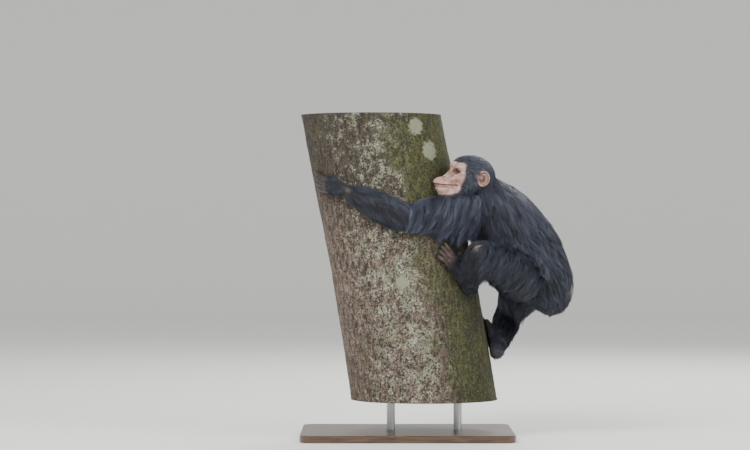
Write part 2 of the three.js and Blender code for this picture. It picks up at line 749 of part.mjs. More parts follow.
// Colours and finishes.
const BARK = { color: 0x8a8272, roughness: 0.95, metalness: 0 };
const BOARD = { color: 0x5b4632, roughness: 0.5, metalness: 0 };
const STEEL = { color: 0x8d9094, roughness: 0.35, metalness: 0.9 };
const COAT_BLACK = { color: 0x1d1f24, roughness: 0.8, metalness: 0 };
const FACE_SKIN = { color: 0xb98f7b, roughness: 0.6, metalness: 0 };
const HAND_SKIN = { color: 0x3a2f2c, roughness: 0.65, metalness: 0 };
const EYE_BROWN = { color: 0x2a1810, roughness: 0.1, metalness: 0 };

// Every node in order. Each is cut by those before it, with a gap.
const NODES = [
  ['perch_trunk', trunkSolid, BARK],
  ['stand_base', baseSolid, BOARD],
  ['stand_rod_left', () => rodSolid(-1), STEEL],
  ['stand_rod_right', () => rodSolid(1), STEEL],
  ['eye_left', (grow) => eyeSolid(1, grow), EYE_BROWN],
  ['eye_right', (grow) => eyeSolid(-1, grow), EYE_BROWN],
  ['head', headSolid, FACE_SKIN],
  ['chest', chestSolid, COAT_BLACK],
  ['hips', hipsSolid, COAT_BLACK],
  ['neck', neckSolid, COAT_BLACK],
  ['ear_left', (grow) => earSolid(1, grow), FACE_SKIN],
  ['ear_right', (grow) => earSolid(-1, grow), FACE_SKIN],
];
for (const side of ['left', 'right']) {
  for (const part of ['upper_arm', 'forearm']) {
    NODES.push([`${part}_${side}`, (grow) => formSolid(limbForms[`${part}_${side}`], grow), COAT_BLACK]);
  }
  NODES.push([`hand_${side}`, gripSolid(handForms(GRIPS[`hand_${side}`])), HAND_SKIN]);
  for (const part of ['thigh', 'shin']) {
    NODES.push([`${part}_${side}`, (grow) => formSolid(limbForms[`${part}_${side}`], grow), COAT_BLACK]);
  }
  NODES.push([`foot_${side}`, gripSolid(footForms(GRIPS[`foot_${side}`])), HAND_SKIN]);
}

// Locks on each node. On the body, angles run from its right flank over the back to its left.
const torsoLocks = coatLocks(torsoForm, {
  rows: 6, around: 7, from: 0.1, to: 0.8, angles: [-32, 212], length: 100, wide: 50, droop: 0.12, seed: 1,
});
const isBelowWaist = ({ steps }) => steps[0].spot.clone().sub(WAIST_AT).dot(WAIST_FACING) > 0;
const LOCKS = {
  chest: torsoLocks.filter((lock) => isBelowWaist(lock) === false),
  hips: torsoLocks.filter(isBelowWaist),
  neck: coatLocks(neckForm, {
    rows: 2, around: 6, from: 0.4, to: 0.8, length: 60, wide: 40, droop: 0.1, seed: 2,
  }),
};
const LIMB_COATS = {
  upper_arm: { rows: 3, around: 6, from: 0.2, to: 0.95, length: 84, wide: 44, way: 1, droop: 0.5 },
  forearm: { rows: 3, around: 6, from: 0.24, to: 0.95, length: 66, wide: 34, way: -1, droop: 0.4 },
  thigh: { rows: 3, around: 6, from: 0.25, to: 0.9, length: 74, wide: 44, way: 1, droop: 0.35 },
  shin: { rows: 2, around: 6, from: 0.25, to: 0.85, length: 62, wide: 36, way: 1, droop: 0.3 },
};
Object.keys(limbForms).forEach((name, i) => {
  const coat = LIMB_COATS[name.replace(/_(left|right)$/, '')];
  LOCKS[name] = coatLocks(limbForms[name], { ...coat, seed: 10 + i });
});

function boxesMeet(a, b) {
  const p = a.boundingBox();
  const q = b.boundingBox();
  return [0, 1, 2].every((k) => p.min[k] < q.max[k] && q.min[k] < p.max[k]);
}

function cutBy(solid, others) {
  return others.reduce((left, other) => (boxesMeet(left, other) ? left.subtract(other) : left), solid);
}

// Each body is cut by those before it, and its hair by every other body and the hair before it.
const chimpanzee = new THREE.Group();
const grownBodies = NODES.map(([, make]) => make(GAP));
const grownHair = [];
NODES.forEach(([name, make, finish], i) => {
  let solid = cutBy(make(0), grownBodies.slice(0, i));
  const locks = LOCKS[name] || [];
  if (locks.length > 0) {
    const others = grownBodies.filter((body, k) => k !== i);
    const hair = join(locks.map((lock) => lockSolid(lock, 0)));
    solid = solid.add(cutBy(hair, others.concat(grownHair)));
    grownHair.push(join(locks.map((lock) => lockSolid(lock, GAP))));
  }
  const mesh = new THREE.Mesh(geometryOf(largest(solid)), new THREE.MeshStandardMaterial(finish));
  mesh.name = name;
  chimpanzee.add(mesh);
});

export default chimpanzee;
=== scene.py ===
import math

import bmesh
import bpy
import numpy as np
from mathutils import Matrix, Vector, kdtree


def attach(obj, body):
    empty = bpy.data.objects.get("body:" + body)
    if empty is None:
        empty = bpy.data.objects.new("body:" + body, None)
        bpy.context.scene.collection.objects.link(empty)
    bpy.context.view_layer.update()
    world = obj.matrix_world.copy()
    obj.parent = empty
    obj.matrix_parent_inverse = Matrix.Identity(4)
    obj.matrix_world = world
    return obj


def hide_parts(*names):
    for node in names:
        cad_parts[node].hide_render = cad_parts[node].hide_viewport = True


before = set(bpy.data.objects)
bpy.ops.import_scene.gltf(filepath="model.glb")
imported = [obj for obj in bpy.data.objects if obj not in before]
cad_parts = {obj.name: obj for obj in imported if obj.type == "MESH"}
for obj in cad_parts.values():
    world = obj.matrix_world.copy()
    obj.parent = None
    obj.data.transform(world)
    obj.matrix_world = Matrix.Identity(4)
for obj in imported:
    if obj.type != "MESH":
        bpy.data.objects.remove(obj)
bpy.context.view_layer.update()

# A young chimpanzee that clings to a leaning tree trunk, as a life-size museum model on a stand.
# Sizes are in millimetres and in the frame's own axes. Meshes are made in metres at the end.
bl_info = {
    "name": "Chimpanzee on a trunk",
    "version": (1, 0, 0),
    "blender": (4, 5, 0),
    "location": "3D View > Sidebar > Chimpanzee",
    "description": "Builds the skin, coat, eyes, nails, bark and stand of a museum chimpanzee",
    "category": "Object",
}

MM = 0.001

# Trunk and grips, as in the solids.
TRUNK_RADIUS = 252
TRUNK_FLARE = 12
TRUNK_FOOT = 136
TRUNK_TOP = 1159
TRUNK_FOOT_X = 62
TRUNK_TOP_X = -128
TRUNK_BOW = 6
BARK_SWELL = 3.5

# Lengths of the animal's parts, as in the solids.
PALM_LENGTH = 86
FINGER_LENGTH = 86
HAND_WIDTH = 54
FOOT_LENGTH = 182
FOOT_WIDTH = 54
EYE_RADIUS = 11.5
EAR_HEIGHT = 58
EAR_WIDTH = 45
EAR_CUP = 9
EAR_AT = (-23, 69, -4)
EAR_FACING = math.radians(40)
HEAD_YAW = math.radians(27)
HEAD_PITCH = math.radians(12)
HEAD_ROLL = math.radians(8)

# The grids: spacing of the coarse one, and how near the skin the finer one is measured.
GUIDE_STEP = 6.0
SKIN_BAND = 7.5
SKIN_REACH = 24
GUIDE_REACH = 62
FAR = 900.0
BARK_CLEARANCE = 0.8

DOWN = np.array((0.0, 0.0, -1.0))


def vec(*numbers):
    return np.array(numbers, float)


def unit(v):
    return v / np.maximum(np.linalg.norm(v, axis=-1, keepdims=True), 1e-9)


def lerp(a, b, t):
    return a + (b - a) * t


def smoothstep(x, low, high):
    t = np.clip((x - low) / (high - low), 0, 1)
    return t * t * (3 - 2 * t)


def bell(x, middle, width):
    return np.exp(-(((x - middle) / width) ** 2))


def soft_min(a, b, k):
    h = np.maximum(k - np.abs(a - b), 0) / k
    return np.minimum(a, b) - h * h * k * 0.25


def soft_max(a, b, k):
    return -soft_min(-a, -b, k)


# The trunk.

def trunk_x(z):
    t = (z - TRUNK_FOOT) / (TRUNK_TOP - TRUNK_FOOT)
    return lerp(TRUNK_FOOT_X, TRUNK_TOP_X, t) + TRUNK_BOW * 4 * t * (1 - t)


def trunk_radius(z):
    return TRUNK_RADIUS + TRUNK_FLARE * (TRUNK_TOP - z) / (TRUNK_TOP - TRUNK_FOOT)


def bark_swell(turn, z):
    return BARK_SWELL * (np.sin(3 * turn + z / 210) * 0.6 + np.sin(7 * turn - z / 130) * 0.4)


def on_trunk(angle, z, off):
    """Point at an angle round the trunk, 0 towards -Y and 90 degrees towards +X, off its bark."""
    r = trunk_radius(z) + off
    return vec(trunk_x(z) + r * math.sin(angle), -r * math.cos(angle), z)


def bark_distance(p):
    """Distance of points from the bark, with the way outwards."""
    out = np.stack([p[:, 0] - trunk_x(p[:, 2]), p[:, 1], np.zeros(len(p))], 1)
    reach = np.linalg.norm(out, axis=1)
    turn = np.arctan2(out[:, 1], out[:, 0])
    return reach - trunk_radius(p[:, 2]) - bark_swell(turn, p[:, 2]), out / reach[:, None]


GRIPS = {
    "hand_left": dict(angle=math.radians(-33), z=884, slope=math.radians(14), way=-1),
    "hand_right": dict(angle=math.radians(174), z=872, slope=math.radians(20), way=1),
    "foot_left": dict(angle=math.radians(56), z=537, slope=math.radians(58), way=-1),
    "foot_right": dict(angle=math.radians(82), z=304, slope=math.radians(40), way=1),
}


def grip_point(grip, along, across, off):
    """Point of a hand or foot: along it, across it towards the thumb or big toe, off the bark."""
    turned = along * math.cos(grip["slope"]) - across * math.sin(grip["slope"])
    up = along * math.sin(grip["slope"]) + across * math.cos(grip["slope"])
    return on_trunk(grip["angle"] + grip["way"] * turned / TRUNK_RADIUS, grip["z"] + up, off)


JOINTS = {
    "shoulder_left": vec(205, -142, 814),
    "elbow_left": vec(-12, -278, 788),
    "wrist_left": grip_point(GRIPS["hand_left"], -8, 0, 30),
    "shoulder_right": vec(243, 50, 822),
    "elbow_right": vec(150, 272, 742),
    "wrist_right": grip_point(GRIPS["hand_right"], -8, 0, 30),
    "hip_left": vec(424, -92, 563),
    "knee_left": vec(252, -266, 672),
    "ankle_left": grip_point(GRIPS["foot_left"], 36, 0, 40),
    "hip_right": vec(430, 22, 550),
    "knee_right": vec(377, 195, 444),
    "ankle_right": grip_point(GRIPS["foot_right"], 36, 0, 38),
}

# The head's frame: forward, left and up, from a point level with the eyes.
HEAD_AT = vec(220, -166, 943)


def head_axes():
    up = vec(0, 0, 1)
    forward = vec(-math.cos(HEAD_YAW), -math.sin(HEAD_YAW), 0)
    left = np.cross(up, forward)
    pitched = forward * math.cos(HEAD_PITCH) + up * math.sin(HEAD_PITCH)
    raised = up * math.cos(HEAD_PITCH) - forward * math.sin(HEAD_PITCH)
    rolled = left * math.cos(HEAD_ROLL) - raised * math.sin(HEAD_ROLL)
    return np.stack([pitched, rolled, np.cross(pitched, rolled)])


HEAD_AXES = head_axes()


def head_point(f, l, u):
    return HEAD_AT + vec(f, l, u) @ HEAD_AXES


# Forms: limbs, digits and the body, each a smooth line with a half width and depth.

def smooth_value(values, t):
    last = len(values) - 1
    s = min(max(t, 0), 1) * last
    i = min(int(s), last - 1)
    w = s - i
    a, b, c, d = (values[min(max(k, 0), last)] for k in (i - 1, i, i + 1, i + 2))
    return b + 0.5 * w * (c - a + w * (2 * a - 5 * b + 4 * c - d + w * (3 * (b - c) + d - a)))


def line_point(points, t):
    """Point on a centripetal curve through points."""
    last = len(points) - 1
    i = min(int(t * last), last - 1)
    w = t * last - i
    p1, p2 = points[i], points[i + 1]
    p0 = points[i - 1] if i > 0 else 2 * p1 - p2
    p3 = points[i + 2] if i + 2 <= last else 2 * p2 - p1
    d0, d1, d2 = (max(np.linalg.norm(b - a), 1e-6) ** 0.5 for a, b in ((p0, p1), (p1, p2), (p2, p3)))
    m1 = ((p1 - p0) / d0 - (p2 - p0) / (d0 + d1) + (p2 - p1) / d1) * d1
    m2 = ((p2 - p1) / d1 - (p3 - p1) / (d1 + d2) + (p3 - p2) / d2) * d1
    return p1 + w * (m1 + w * (3 * (p2 - p1) - 2 * m1 - m2 + w * (2 * (p1 - p2) + m1 + m2)))


class Form:
    """A smooth line of stations. way is -1 where its hair runs back towards its start."""

    def __init__(self, stations, side, samples=14, dome=0.12, way=1):
        middles = [s[0] for s in stations]
        t = np.linspace(0, 1, samples)
        ends = np.minimum(t, 1 - t) / dome
        taper = np.sqrt(np.clip(1 - (1 - np.minimum(ends, 1)) ** 2, 0, 1))
        self.t = t
        self.at = np.array([line_point(middles, x) for x in t])
        self.along = unit(np.gradient(self.at, axis=0))
        self.across = unit(side - self.along * (self.along @ side)[:, None])
        self.out = np.cross(self.along, self.across)
        self.wide = np.array([smooth_value([s[1] for s in stations], x) for x in t]) * taper + 0.3
        self.deep = np.array([smooth_value([s[2] for s in stations], x) for x in t]) * taper + 0.3
        self.way = way
        most = np.maximum(self.wide, self.deep)[:, None]
        self.low = (self.at - most).min(0)
        self.high = (self.at + most).max(0)

    def measure(self, p):
        """Distance from the form's skin, with the share along it and the angle round it."""
        best = np.full(len(p), FAR, np.float32)
        share = np.zeros(len(p), np.float32)
        x_at = np.ones(len(p), np.float32)
        y_at = np.zeros(len(p), np.float32)
        p = p.astype(np.float32)
        for i in range(len(self.at) - 1):
            d = (self.at[i + 1] - self.at[i]).astype(np.float32)
            size = max(self.wide[i:i + 2].max(), self.deep[i:i + 2].max())
            gap = p - ((self.at[i] + self.at[i + 1]) / 2).astype(np.float32)
            limit = size + np.linalg.norm(d) / 2 + GUIDE_REACH
            near = np.flatnonzero(np.einsum("ij,ij->i", gap, gap) < limit * limit)
            if not len(near):
                continue
            q = gap[near] + d / 2
            h = np.clip(q @ d / (d @ d), 0, 1)
            q -= h[:, None] * d
            axes = np.stack(
                [line[i:i + 2] for line in (self.across, self.out, self.along)], 1).astype(np.float32)
            start, end = q @ axes[0].T, q @ axes[1].T
            x, y, z = lerp(start, end, h[:, None]).T
            wide = lerp(np.float32(self.wide[i]), np.float32(self.wide[i + 1]), h)
            deep = lerp(np.float32(self.deep[i]), np.float32(self.deep[i + 1]), h)
            found = ellipsoid_distance(x, y, z, wide, deep, np.minimum(wide, deep))
            closer = found < best[near]
            spots = near[closer]
            best[spots] = found[closer]
            share[spots] = lerp(self.t[i], self.t[i + 1], h[closer])
            x_at[spots], y_at[spots] = x[closer], y[closer]
        return best, share, np.arctan2(y_at, x_at)

    def heading(self, share):
        i = np.clip((share * (len(self.t) - 1)).astype(int), 0, len(self.t) - 1)
        return self.along[i] * self.way


def ellipsoid_distance(x, y, z, a, b, c):
    k = np.sqrt((x / a) ** 2 + (y / b) ** 2 + (z / c) ** 2)
    g = np.sqrt((x / a**2) ** 2 + (y / b**2) ** 2 + (z / c**2) ** 2)
    return k * (k - 1) / np.maximum(g, 1e-9)


def between(start, end, wides, deeps):
    spots = np.linspace(0, 1, len(wides))
    return [(lerp(start, end, t), wide, deep) for t, wide, deep in zip(spots, wides, deeps)]


ACROSS = vec(0, 1, 0)
UP = vec(0, 0, 1)
FRONT = vec(1, 0, 0)
SHOULDER_ROOT = 46


def shoulder_root(side):
    joint = JOINTS["shoulder_" + side]
    return joint + unit(vec(300, -45, 815) - joint) * SHOULDER_ROOT


def body_forms():
    torso = Form([
        (vec(260, -72, 878), 40, 38),
        (vec(292, -54, 833), 92, 74),
        (vec(337, -47, 780), 102, 98),
        (vec(385, -44, 725), 98, 101),
        (vec(433, -40, 671), 92, 95),
        (vec(474, -36, 614), 88, 80),
        (vec(503, -33, 556), 82, 72),
        (vec(518, -32, 505), 63, 54),
        (vec(513, -30, 470), 36, 32),
    ], ACROSS, samples=24)
    neck = Form([
        (head_point(-26, 0, -6), 46, 46),
        (lerp(head_point(-44, 4, -34), vec(300, -66, 856), 0.35), 48, 48),
        (vec(306, -60, 848), 54, 50),
    ], ACROSS, samples=8)
    return {"torso": torso, "neck": neck}


ARM = ((50, 45, 36, 31, 27), (54, 48, 37, 32, 27))
FOREARM = ((26, 31, 28, 22, 18), (26, 29, 26, 20, 14))
THIGH = ((62, 62, 54, 42, 32), (66, 64, 52, 40, 30))
SHIN = ((30, 35, 32, 25, 22), (30, 36, 32, 25, 22))


def limb_forms():
    forms = {}
    for side in ("left", "right"):
        elbow, wrist = JOINTS["elbow_" + side], JOINTS["wrist_" + side]
        hip, knee, ankle = (JOINTS[f"{name}_{side}"] for name in ("hip", "knee", "ankle"))
        arm_side = ACROSS if side == "left" else FRONT
        forms["thigh_" + side] = Form(between(hip, knee, *THIGH), UP)
        forms["upper_arm_" + side] = Form(between(shoulder_root(side), elbow, *ARM), arm_side)
        forms["shin_" + side] = Form(between(knee, ankle, *SHIN), FRONT)
        forms["forearm_" + side] = Form(between(elbow, wrist, *FOREARM), UP, way=-1)
    return forms


def digit_form(grip, start, end, thick, heights):
    stations = []
    for i, off in enumerate(heights):
        t = i / (len(heights) - 1)
        at = grip_point(grip, lerp(start[0], end[0], t), lerp(start[1], end[1], t), off)
        r = thick * lerp(1.08, 0.8, t)
        stations.append((at, r, r))
    return Form(stations, UP, samples=9, dome=0.14)


def hand_forms(grip):
    palm = Form([
        (grip_point(grip, -26, 0, 31), 20, 15),
        (grip_point(grip, 8, 0, 26), 23, 16),
        (grip_point(grip, 38, 1, 20), HAND_WIDTH * 0.48, 15),
        (grip_point(grip, 68, 1, 17), HAND_WIDTH * 0.52, 14),
        (grip_point(grip, PALM_LENGTH + 10, 1, 14), HAND_WIDTH * 0.42, 11),
    ], UP, samples=12, dome=0.16)
    digits = []
    for i, reach in enumerate((0.9, 1, 0.95, 0.78)):
        across = HAND_WIDTH * (0.375 - 0.25 * i) + 1
        tip = (PALM_LENGTH + FINGER_LENGTH * reach, across * 1.45)
        digits.append(digit_form(grip, (PALM_LENGTH - 16, across * 0.9), tip, 8.6, (13, 16, 15, 11, 7)))
    digits.append(digit_form(grip, (18, 14), (66, 42), 8.8, (14, 15, 12, 8)))
    return palm, digits


def foot_forms(grip):
    sole = Form([
        (grip_point(grip, -10, -2, 20), 18, 17),
        (grip_point(grip, 14, -2, 26), 25, 27),
        (grip_point(grip, 44, 0, 30), 27, 29),
        (grip_point(grip, 80, 0, 22), FOOT_WIDTH * 0.54, 21),
        (grip_point(grip, 118, -3, 15), FOOT_WIDTH * 0.52, 14),
        (grip_point(grip, 144, -4, 12), FOOT_WIDTH * 0.36, 10),
    ], UP, samples=14, dome=0.14)
    digits = []
    for i, reach in enumerate((1, 0.99, 0.95, 0.88)):
        across = FOOT_WIDTH * (0.33 - 0.25 * i) - 1
        tip = (FOOT_LENGTH * reach, across * 1.35 - 2)
        digits.append(digit_form(grip, (118, across), tip, 7.8, (12, 15, 13, 7)))
    digits.append(digit_form(grip, (62, 16), (118, 56), 12, (16, 17, 14, 10)))
    return sole, digits


# The head: rounded masses in its own frame, with the folds of the face.
BALLS = (
    ((-8, 0, 10), (80, 61, 54)),
    ((20, 0, 20), (48, 48, 34)),
    ((36, 37, -18), (28, 22, 28)),
    ((70, 0, -53), (50, 37, 25)),
    ((96, 0, -52), (33, 34, 17)),
    ((85, 0, -76), (32, 27, 14)),
    ((66, 0, -74), (44, 32, 22)),
    ((55, 15, -23), (20, 17, 16)),
)
BARS = (
    ((72, 0, 16), (57, 37, 13), 11, 9),
    ((66, 0, 4), (85, 0, -27), 9, 10),
    ((6, 38, -38), (62, 18, -74), 22, 18),
    ((54, 27, -16), (80, 19, -42), 10, 8),
)
HEAD_BLEND = 10
EYE_AT = (51, 22, 0)
SOCKET = ((62, 23, -1), (15, 17, 11))
NOSTRIL = ((101, 8, -33), (9, 3.8, 4.6))
LID_GAP = 0.5
LID_THICK = 2.9
EYE_SLIT = (1.0, 12.2, 4.7)
MOUTH_BACK = 52
MOUTH_DEPTH = 4.4
MOUTH_HALF = 1.7


def ball_distance(ball, f, l, u):
    at, radii = ball
    return ellipsoid_distance(f - at[0], l - at[1], u - at[2], *radii)


def bar_distance(bar, f, l, u):
    a, b, start, end = np.array(bar[0], float), np.array(bar[1], float), bar[2], bar[3]
    d = b - a
    p = np.stack([f, l, u], 1) - a
    h = np.clip(p @ d / (d @ d), 0, 1)
    return np.linalg.norm(p - h[:, None] * d, axis=1) - lerp(start, end, h)


def mouth_line(f):
    """Height of the line between the lips at a place forward."""
    t = (-76 + np.sqrt(np.maximum(76**2 + 80 * (f - 54), 0))) / 40
    return -48 - 12 * t - 8 * t * t


def face_folds(f, l, u):
    """How far the folds and lines of the face push the skin out."""
    front = smoothstep(f, 44, 58)
    lip = u - mouth_line(f)
    from_eye = np.hypot(l - EYE_AT[1], (u - EYE_AT[2]) * 1.15)
    bags = np.cos((from_eye - 17.5) * 2 * math.pi / 6.2) * bell(from_eye, 23, 8) * smoothstep(-u, 1, 9)
    brow = np.cos(u * 2 * math.pi / 7.5 + 0.12 * l) * bell(u, 33, 9)
    lips = bell(np.abs(lip), 4.4, 3.2) * smoothstep(f, 62, 92)
    lip_lines = np.cos(l * 2 * math.pi / 4.6) * bell(np.abs(lip), 8, 5) * smoothstep(f, 92, 112)
    fold = bell(l - 18 + (u + 24) * 0.5, 0, 2.6) * bell(u, -36, 14)
    wing = np.sqrt(((f - 91) / 9) ** 2 + ((l - 8) / 8) ** 2 + ((u + 32) / 7) ** 2)
    wing = bell(wing, 1.0, 0.35)
    groove = bell(l, 0, 2.2) * bell(u, -30, 9) * smoothstep(f, 84, 92)
    bridge = np.cos((u + 8) * 2 * math.pi / 6.5 + l * 0.25) * bell(l, 0, 12) * bell(u, -9, 9)
    corner = np.cos((f - 60) * 2 * math.pi / 7.0 + lip * 0.2) * bell(f, 62, 8) * bell(lip, 0, 14)
    out = 1.1 * bags + 0.7 * brow + 1.6 * lips + 0.35 * lip_lines - 1.7 * fold + 1.7 * wing
    return front * (out - 1.0 * groove + 0.5 * bridge + 0.6 * corner)


def head_distance(f, side, u):
    """Distance from the skin of the head, without its ears."""
    l = np.abs(side)
    d = ball_distance(BALLS[0], f, l, u)
    for ball in BALLS[1:]:
        d = soft_min(d, ball_distance(ball, f, l, u), HEAD_BLEND)
    for bar in BARS:
        d = soft_min(d, bar_distance(bar, f, l, u), HEAD_BLEND)
    near = d < 30
    skin = d[near]
    f, l, u = f[near], l[near], u[near]
    skin = skin - face_folds(f, l, u)
    skin = soft_max(skin, -ball_distance(SOCKET, f, l, u), 5)
    from_eye = np.sqrt((f - EYE_AT[0]) ** 2 + (l - EYE_AT[1]) ** 2 + (u - EYE_AT[2]) ** 2)
    lids = np.abs(from_eye - EYE_RADIUS - LID_GAP - LID_THICK / 2) - LID_THICK / 2
    droop, half_wide, half_high = EYE_SLIT
    slit = np.hypot((l - EYE_AT[1] - 1) / half_wide, (u - EYE_AT[2] + droop * 0.6) / half_high) - 1
    lids = soft_max(lids, -np.where(f > EYE_AT[0], slit * half_high, 50), 1.0)
    skin = soft_min(skin, lids, 5.0)
    skin = np.maximum(skin, EYE_RADIUS + 0.3 - from_eye)
    groove = np.hypot(u - mouth_line(f), skin * MOUTH_HALF / MOUTH_DEPTH) - MOUTH_HALF
    skin = soft_max(skin, -np.maximum(groove, (MOUTH_BACK - f) * 0.3), 1.2)
    skin = soft_max(skin, -ball_distance(NOSTRIL, f, l, u), 1.6)
    d[near] = skin
    return d


def ear_distance(f, side, u):
    """Distance from a cupped ear with a rolled rim, an inner ridge and a small flap at its front."""
    front = f - EAR_AT[0]
    out = np.abs(side) - EAR_AT[1]
    y = u - EAR_AT[2]
    x = out * math.sin(EAR_FACING) - front * math.cos(EAR_FACING)
    z = out * math.cos(EAR_FACING) + front * math.sin(EAR_FACING)
    wide, high = EAR_WIDTH / 2, EAR_HEIGHT / 2 * (1 - 0.12 * np.clip(x / (EAR_WIDTH / 2), -1, 1))
    reach = np.hypot(x / wide, y / high)
    rim = bell(reach, 0.88, 0.13) * smoothstep(x + 0.7 * y, -24, -4)
    ridge = bell(np.hypot((x - 2) / wide, (y - 1) / high), 0.5, 0.13) * smoothstep(x + 0.5 * y, -8, 4)
    bowl = bell(np.hypot((x + 5) / 11, (y + 4) / 13), 0, 0.8)
    flap = bell(np.hypot((x + 18) / 5, (y + 5) / 7), 0, 1)
    height = -EAR_CUP * (1 - reach**2) + 4.5 * rim + 3.6 * ridge - 6.0 * bowl + 5.0 * flap
    thick = 2.7 + 1.8 * rim + 1.0 * ridge + 1.5 * flap
    plate = (np.abs(z - height) - thick) * 0.8
    edge = (reach - 1) * (wide + high) / 2
    return soft_max(plate, edge, 4)


def in_head(p):
    q = (p - HEAD_AT) @ HEAD_AXES.T
    return q[:, 0], q[:, 1], q[:, 2]


# The parts in the order that they are blended, each with its way to measure and its box.
class Part:
    """One part of the skin. measure gives distance, share along and angle round, heading its hair's lie."""

    def __init__(self, name, measure, heading, low, high, blend):
        self.name = name
        self.measure = measure
        self.heading = heading
        self.low = np.array(low, float)
        self.high = np.array(high, float)
        self.blend = blend


# Depth of the undercoat on each kind of part, thinner towards the part's end.
PADS = {"torso": 9, "neck": 7, "thigh": 6, "upper_arm": 14, "shin": 4, "forearm": 9}
# The raised near shoulder, whose fur hides the chin: where it is, and its half sizes.
SHOULDER_MASS = (vec(166, -200, 845), (80, 38, 38))
SHOULDER_BLEND = 20


def form_part(name, form, blend):
    """A part round a form, with the thick undercoat that the long hair lies on."""
    pad = PADS[name.replace("_left", "").replace("_right", "")]

    def measure(p):
        found, share, angle = form.measure(p)
        found = found - pad * (1 - 0.7 * smoothstep(share, 0.65, 1))
        if name == "upper_arm_left":
            mass = (p - SHOULDER_MASS[0]).T
            found = soft_min(found, ellipsoid_distance(*mass, *SHOULDER_MASS[1]), SHOULDER_BLEND)
        return found, share, angle

    return Part(name, measure, lambda p, share: form.heading(share), form.low - pad, form.high + pad, blend)


def grip_part(name, palm, digits, blend):
    """A hand or foot: digits that stay apart from each other and melt into the palm."""
    def measure(p):
        base, share, angle = palm.measure(p)
        fingers = np.full(len(p), FAR)
        for digit in digits:
            fingers = np.minimum(fingers, digit.measure(p)[0])
        return soft_min(base, fingers, 6), share, angle

    forms = [palm, *digits]
    low = np.min([form.low for form in forms], 0)
    high = np.max([form.high for form in forms], 0)
    return Part(name, measure, lambda p, share: palm.heading(share), low, high, blend)


def head_heading(p, _share):
    """Hair runs back over the crown, and down and back on the cheeks."""
    _, l, u = in_head(p)
    low = smoothstep(-u, -30, 30)[:, None]
    side = np.sign(l)[:, None] * smoothstep(np.abs(l), 5, 45)[:, None]
    back = -HEAD_AXES[0] - HEAD_AXES[2] * (0.1 + 0.9 * low) + HEAD_AXES[1] * side * 0.3 * (1 - low)
    return unit(back)


def head_part():
    def measure(p):
        f, l, u = in_head(p)
        turn = np.arctan2(l, f)
        rise = np.arccos(np.clip(u / np.maximum(np.sqrt(f * f + l * l + u * u), 1e-6), -1, 1)) / math.pi
        return head_distance(f, l, u), rise, turn
    centre = head_point(20, 0, -20)
    return Part("head", measure, head_heading, centre - 118, centre + 118, 16)


def ear_part(side, name):
    def measure(p):
        f, l, u = in_head(p)
        d = np.where(l * side > 0, ear_distance(f, l, u), FAR)
        return d, np.zeros(len(p)), np.zeros(len(p))
    centre = head_point(EAR_AT[0], side * EAR_AT[1], EAR_AT[2])
    return Part(name, measure, head_heading, centre - 36, centre + 36, 5)


def make_parts():
    bodies = body_forms()
    limbs = limb_forms()
    parts = [form_part("torso", bodies["torso"], 20), form_part("neck", bodies["neck"], 22)]
    blends = {"thigh": 26, "upper_arm": 24, "shin": 12, "forearm": 13}
    for name in ("thigh", "upper_arm", "shin", "forearm"):
        for side in ("left", "right"):
            parts.append(form_part(f"{name}_{side}", limbs[f"{name}_{side}"], blends[name]))
    parts += [head_part(), ear_part(1, "ear_left"), ear_part(-1, "ear_right")]
    for side in ("left", "right"):
        parts.append(grip_part("hand_" + side, *hand_forms(GRIPS["hand_" + side]), 8))
        parts.append(grip_part("foot_" + side, *foot_forms(GRIPS["foot_" + side]), 9))
    return parts


PARTS = make_parts()
PART_NUMBER = {part.name: i for i, part in enumerate(PARTS)}


def skin_distance(p, reach=SKIN_REACH):
    """Distance from the whole skin, with the number of the nearest part."""
    whole = np.full(len(p), FAR)
    nearest = np.full(len(p), FAR)
    owner = np.zeros(len(p), int)
    for number, part in enumerate(PARTS):
        inside = np.all((p > part.low - reach) & (p < part.high + reach), axis=1)
        if not inside.any():
            continue
        found = part.measure(p[inside])[0]
        whole[inside] = soft_min(whole[inside], found, part.blend)
        closer = found < nearest[inside]
        owner[inside] = np.where(closer, number, owner[inside])
        nearest[inside] = np.minimum(nearest[inside], found)
    return np.maximum(whole, BARK_CLEARANCE - bark_distance(p)[0]), owner


SLOPE_SPOTS = np.array(((1, 1, 1), (1, -1, -1), (-1, 1, -1), (-1, -1, 1)), float)


def slope(measure, p, step):
    """Way outwards from a measured surface, from four spots round each point."""
    return unit(sum(spot * measure(p + spot * step)[0][:, None] for spot in SLOPE_SPOTS))


def settle_on_skin(p, rounds):
    """Moves points near the skin onto it."""
    for _ in range(rounds):
        p = p - slope(skin_distance, p, 0.4) * skin_distance(p)[0][:, None] * 0.9
    return p


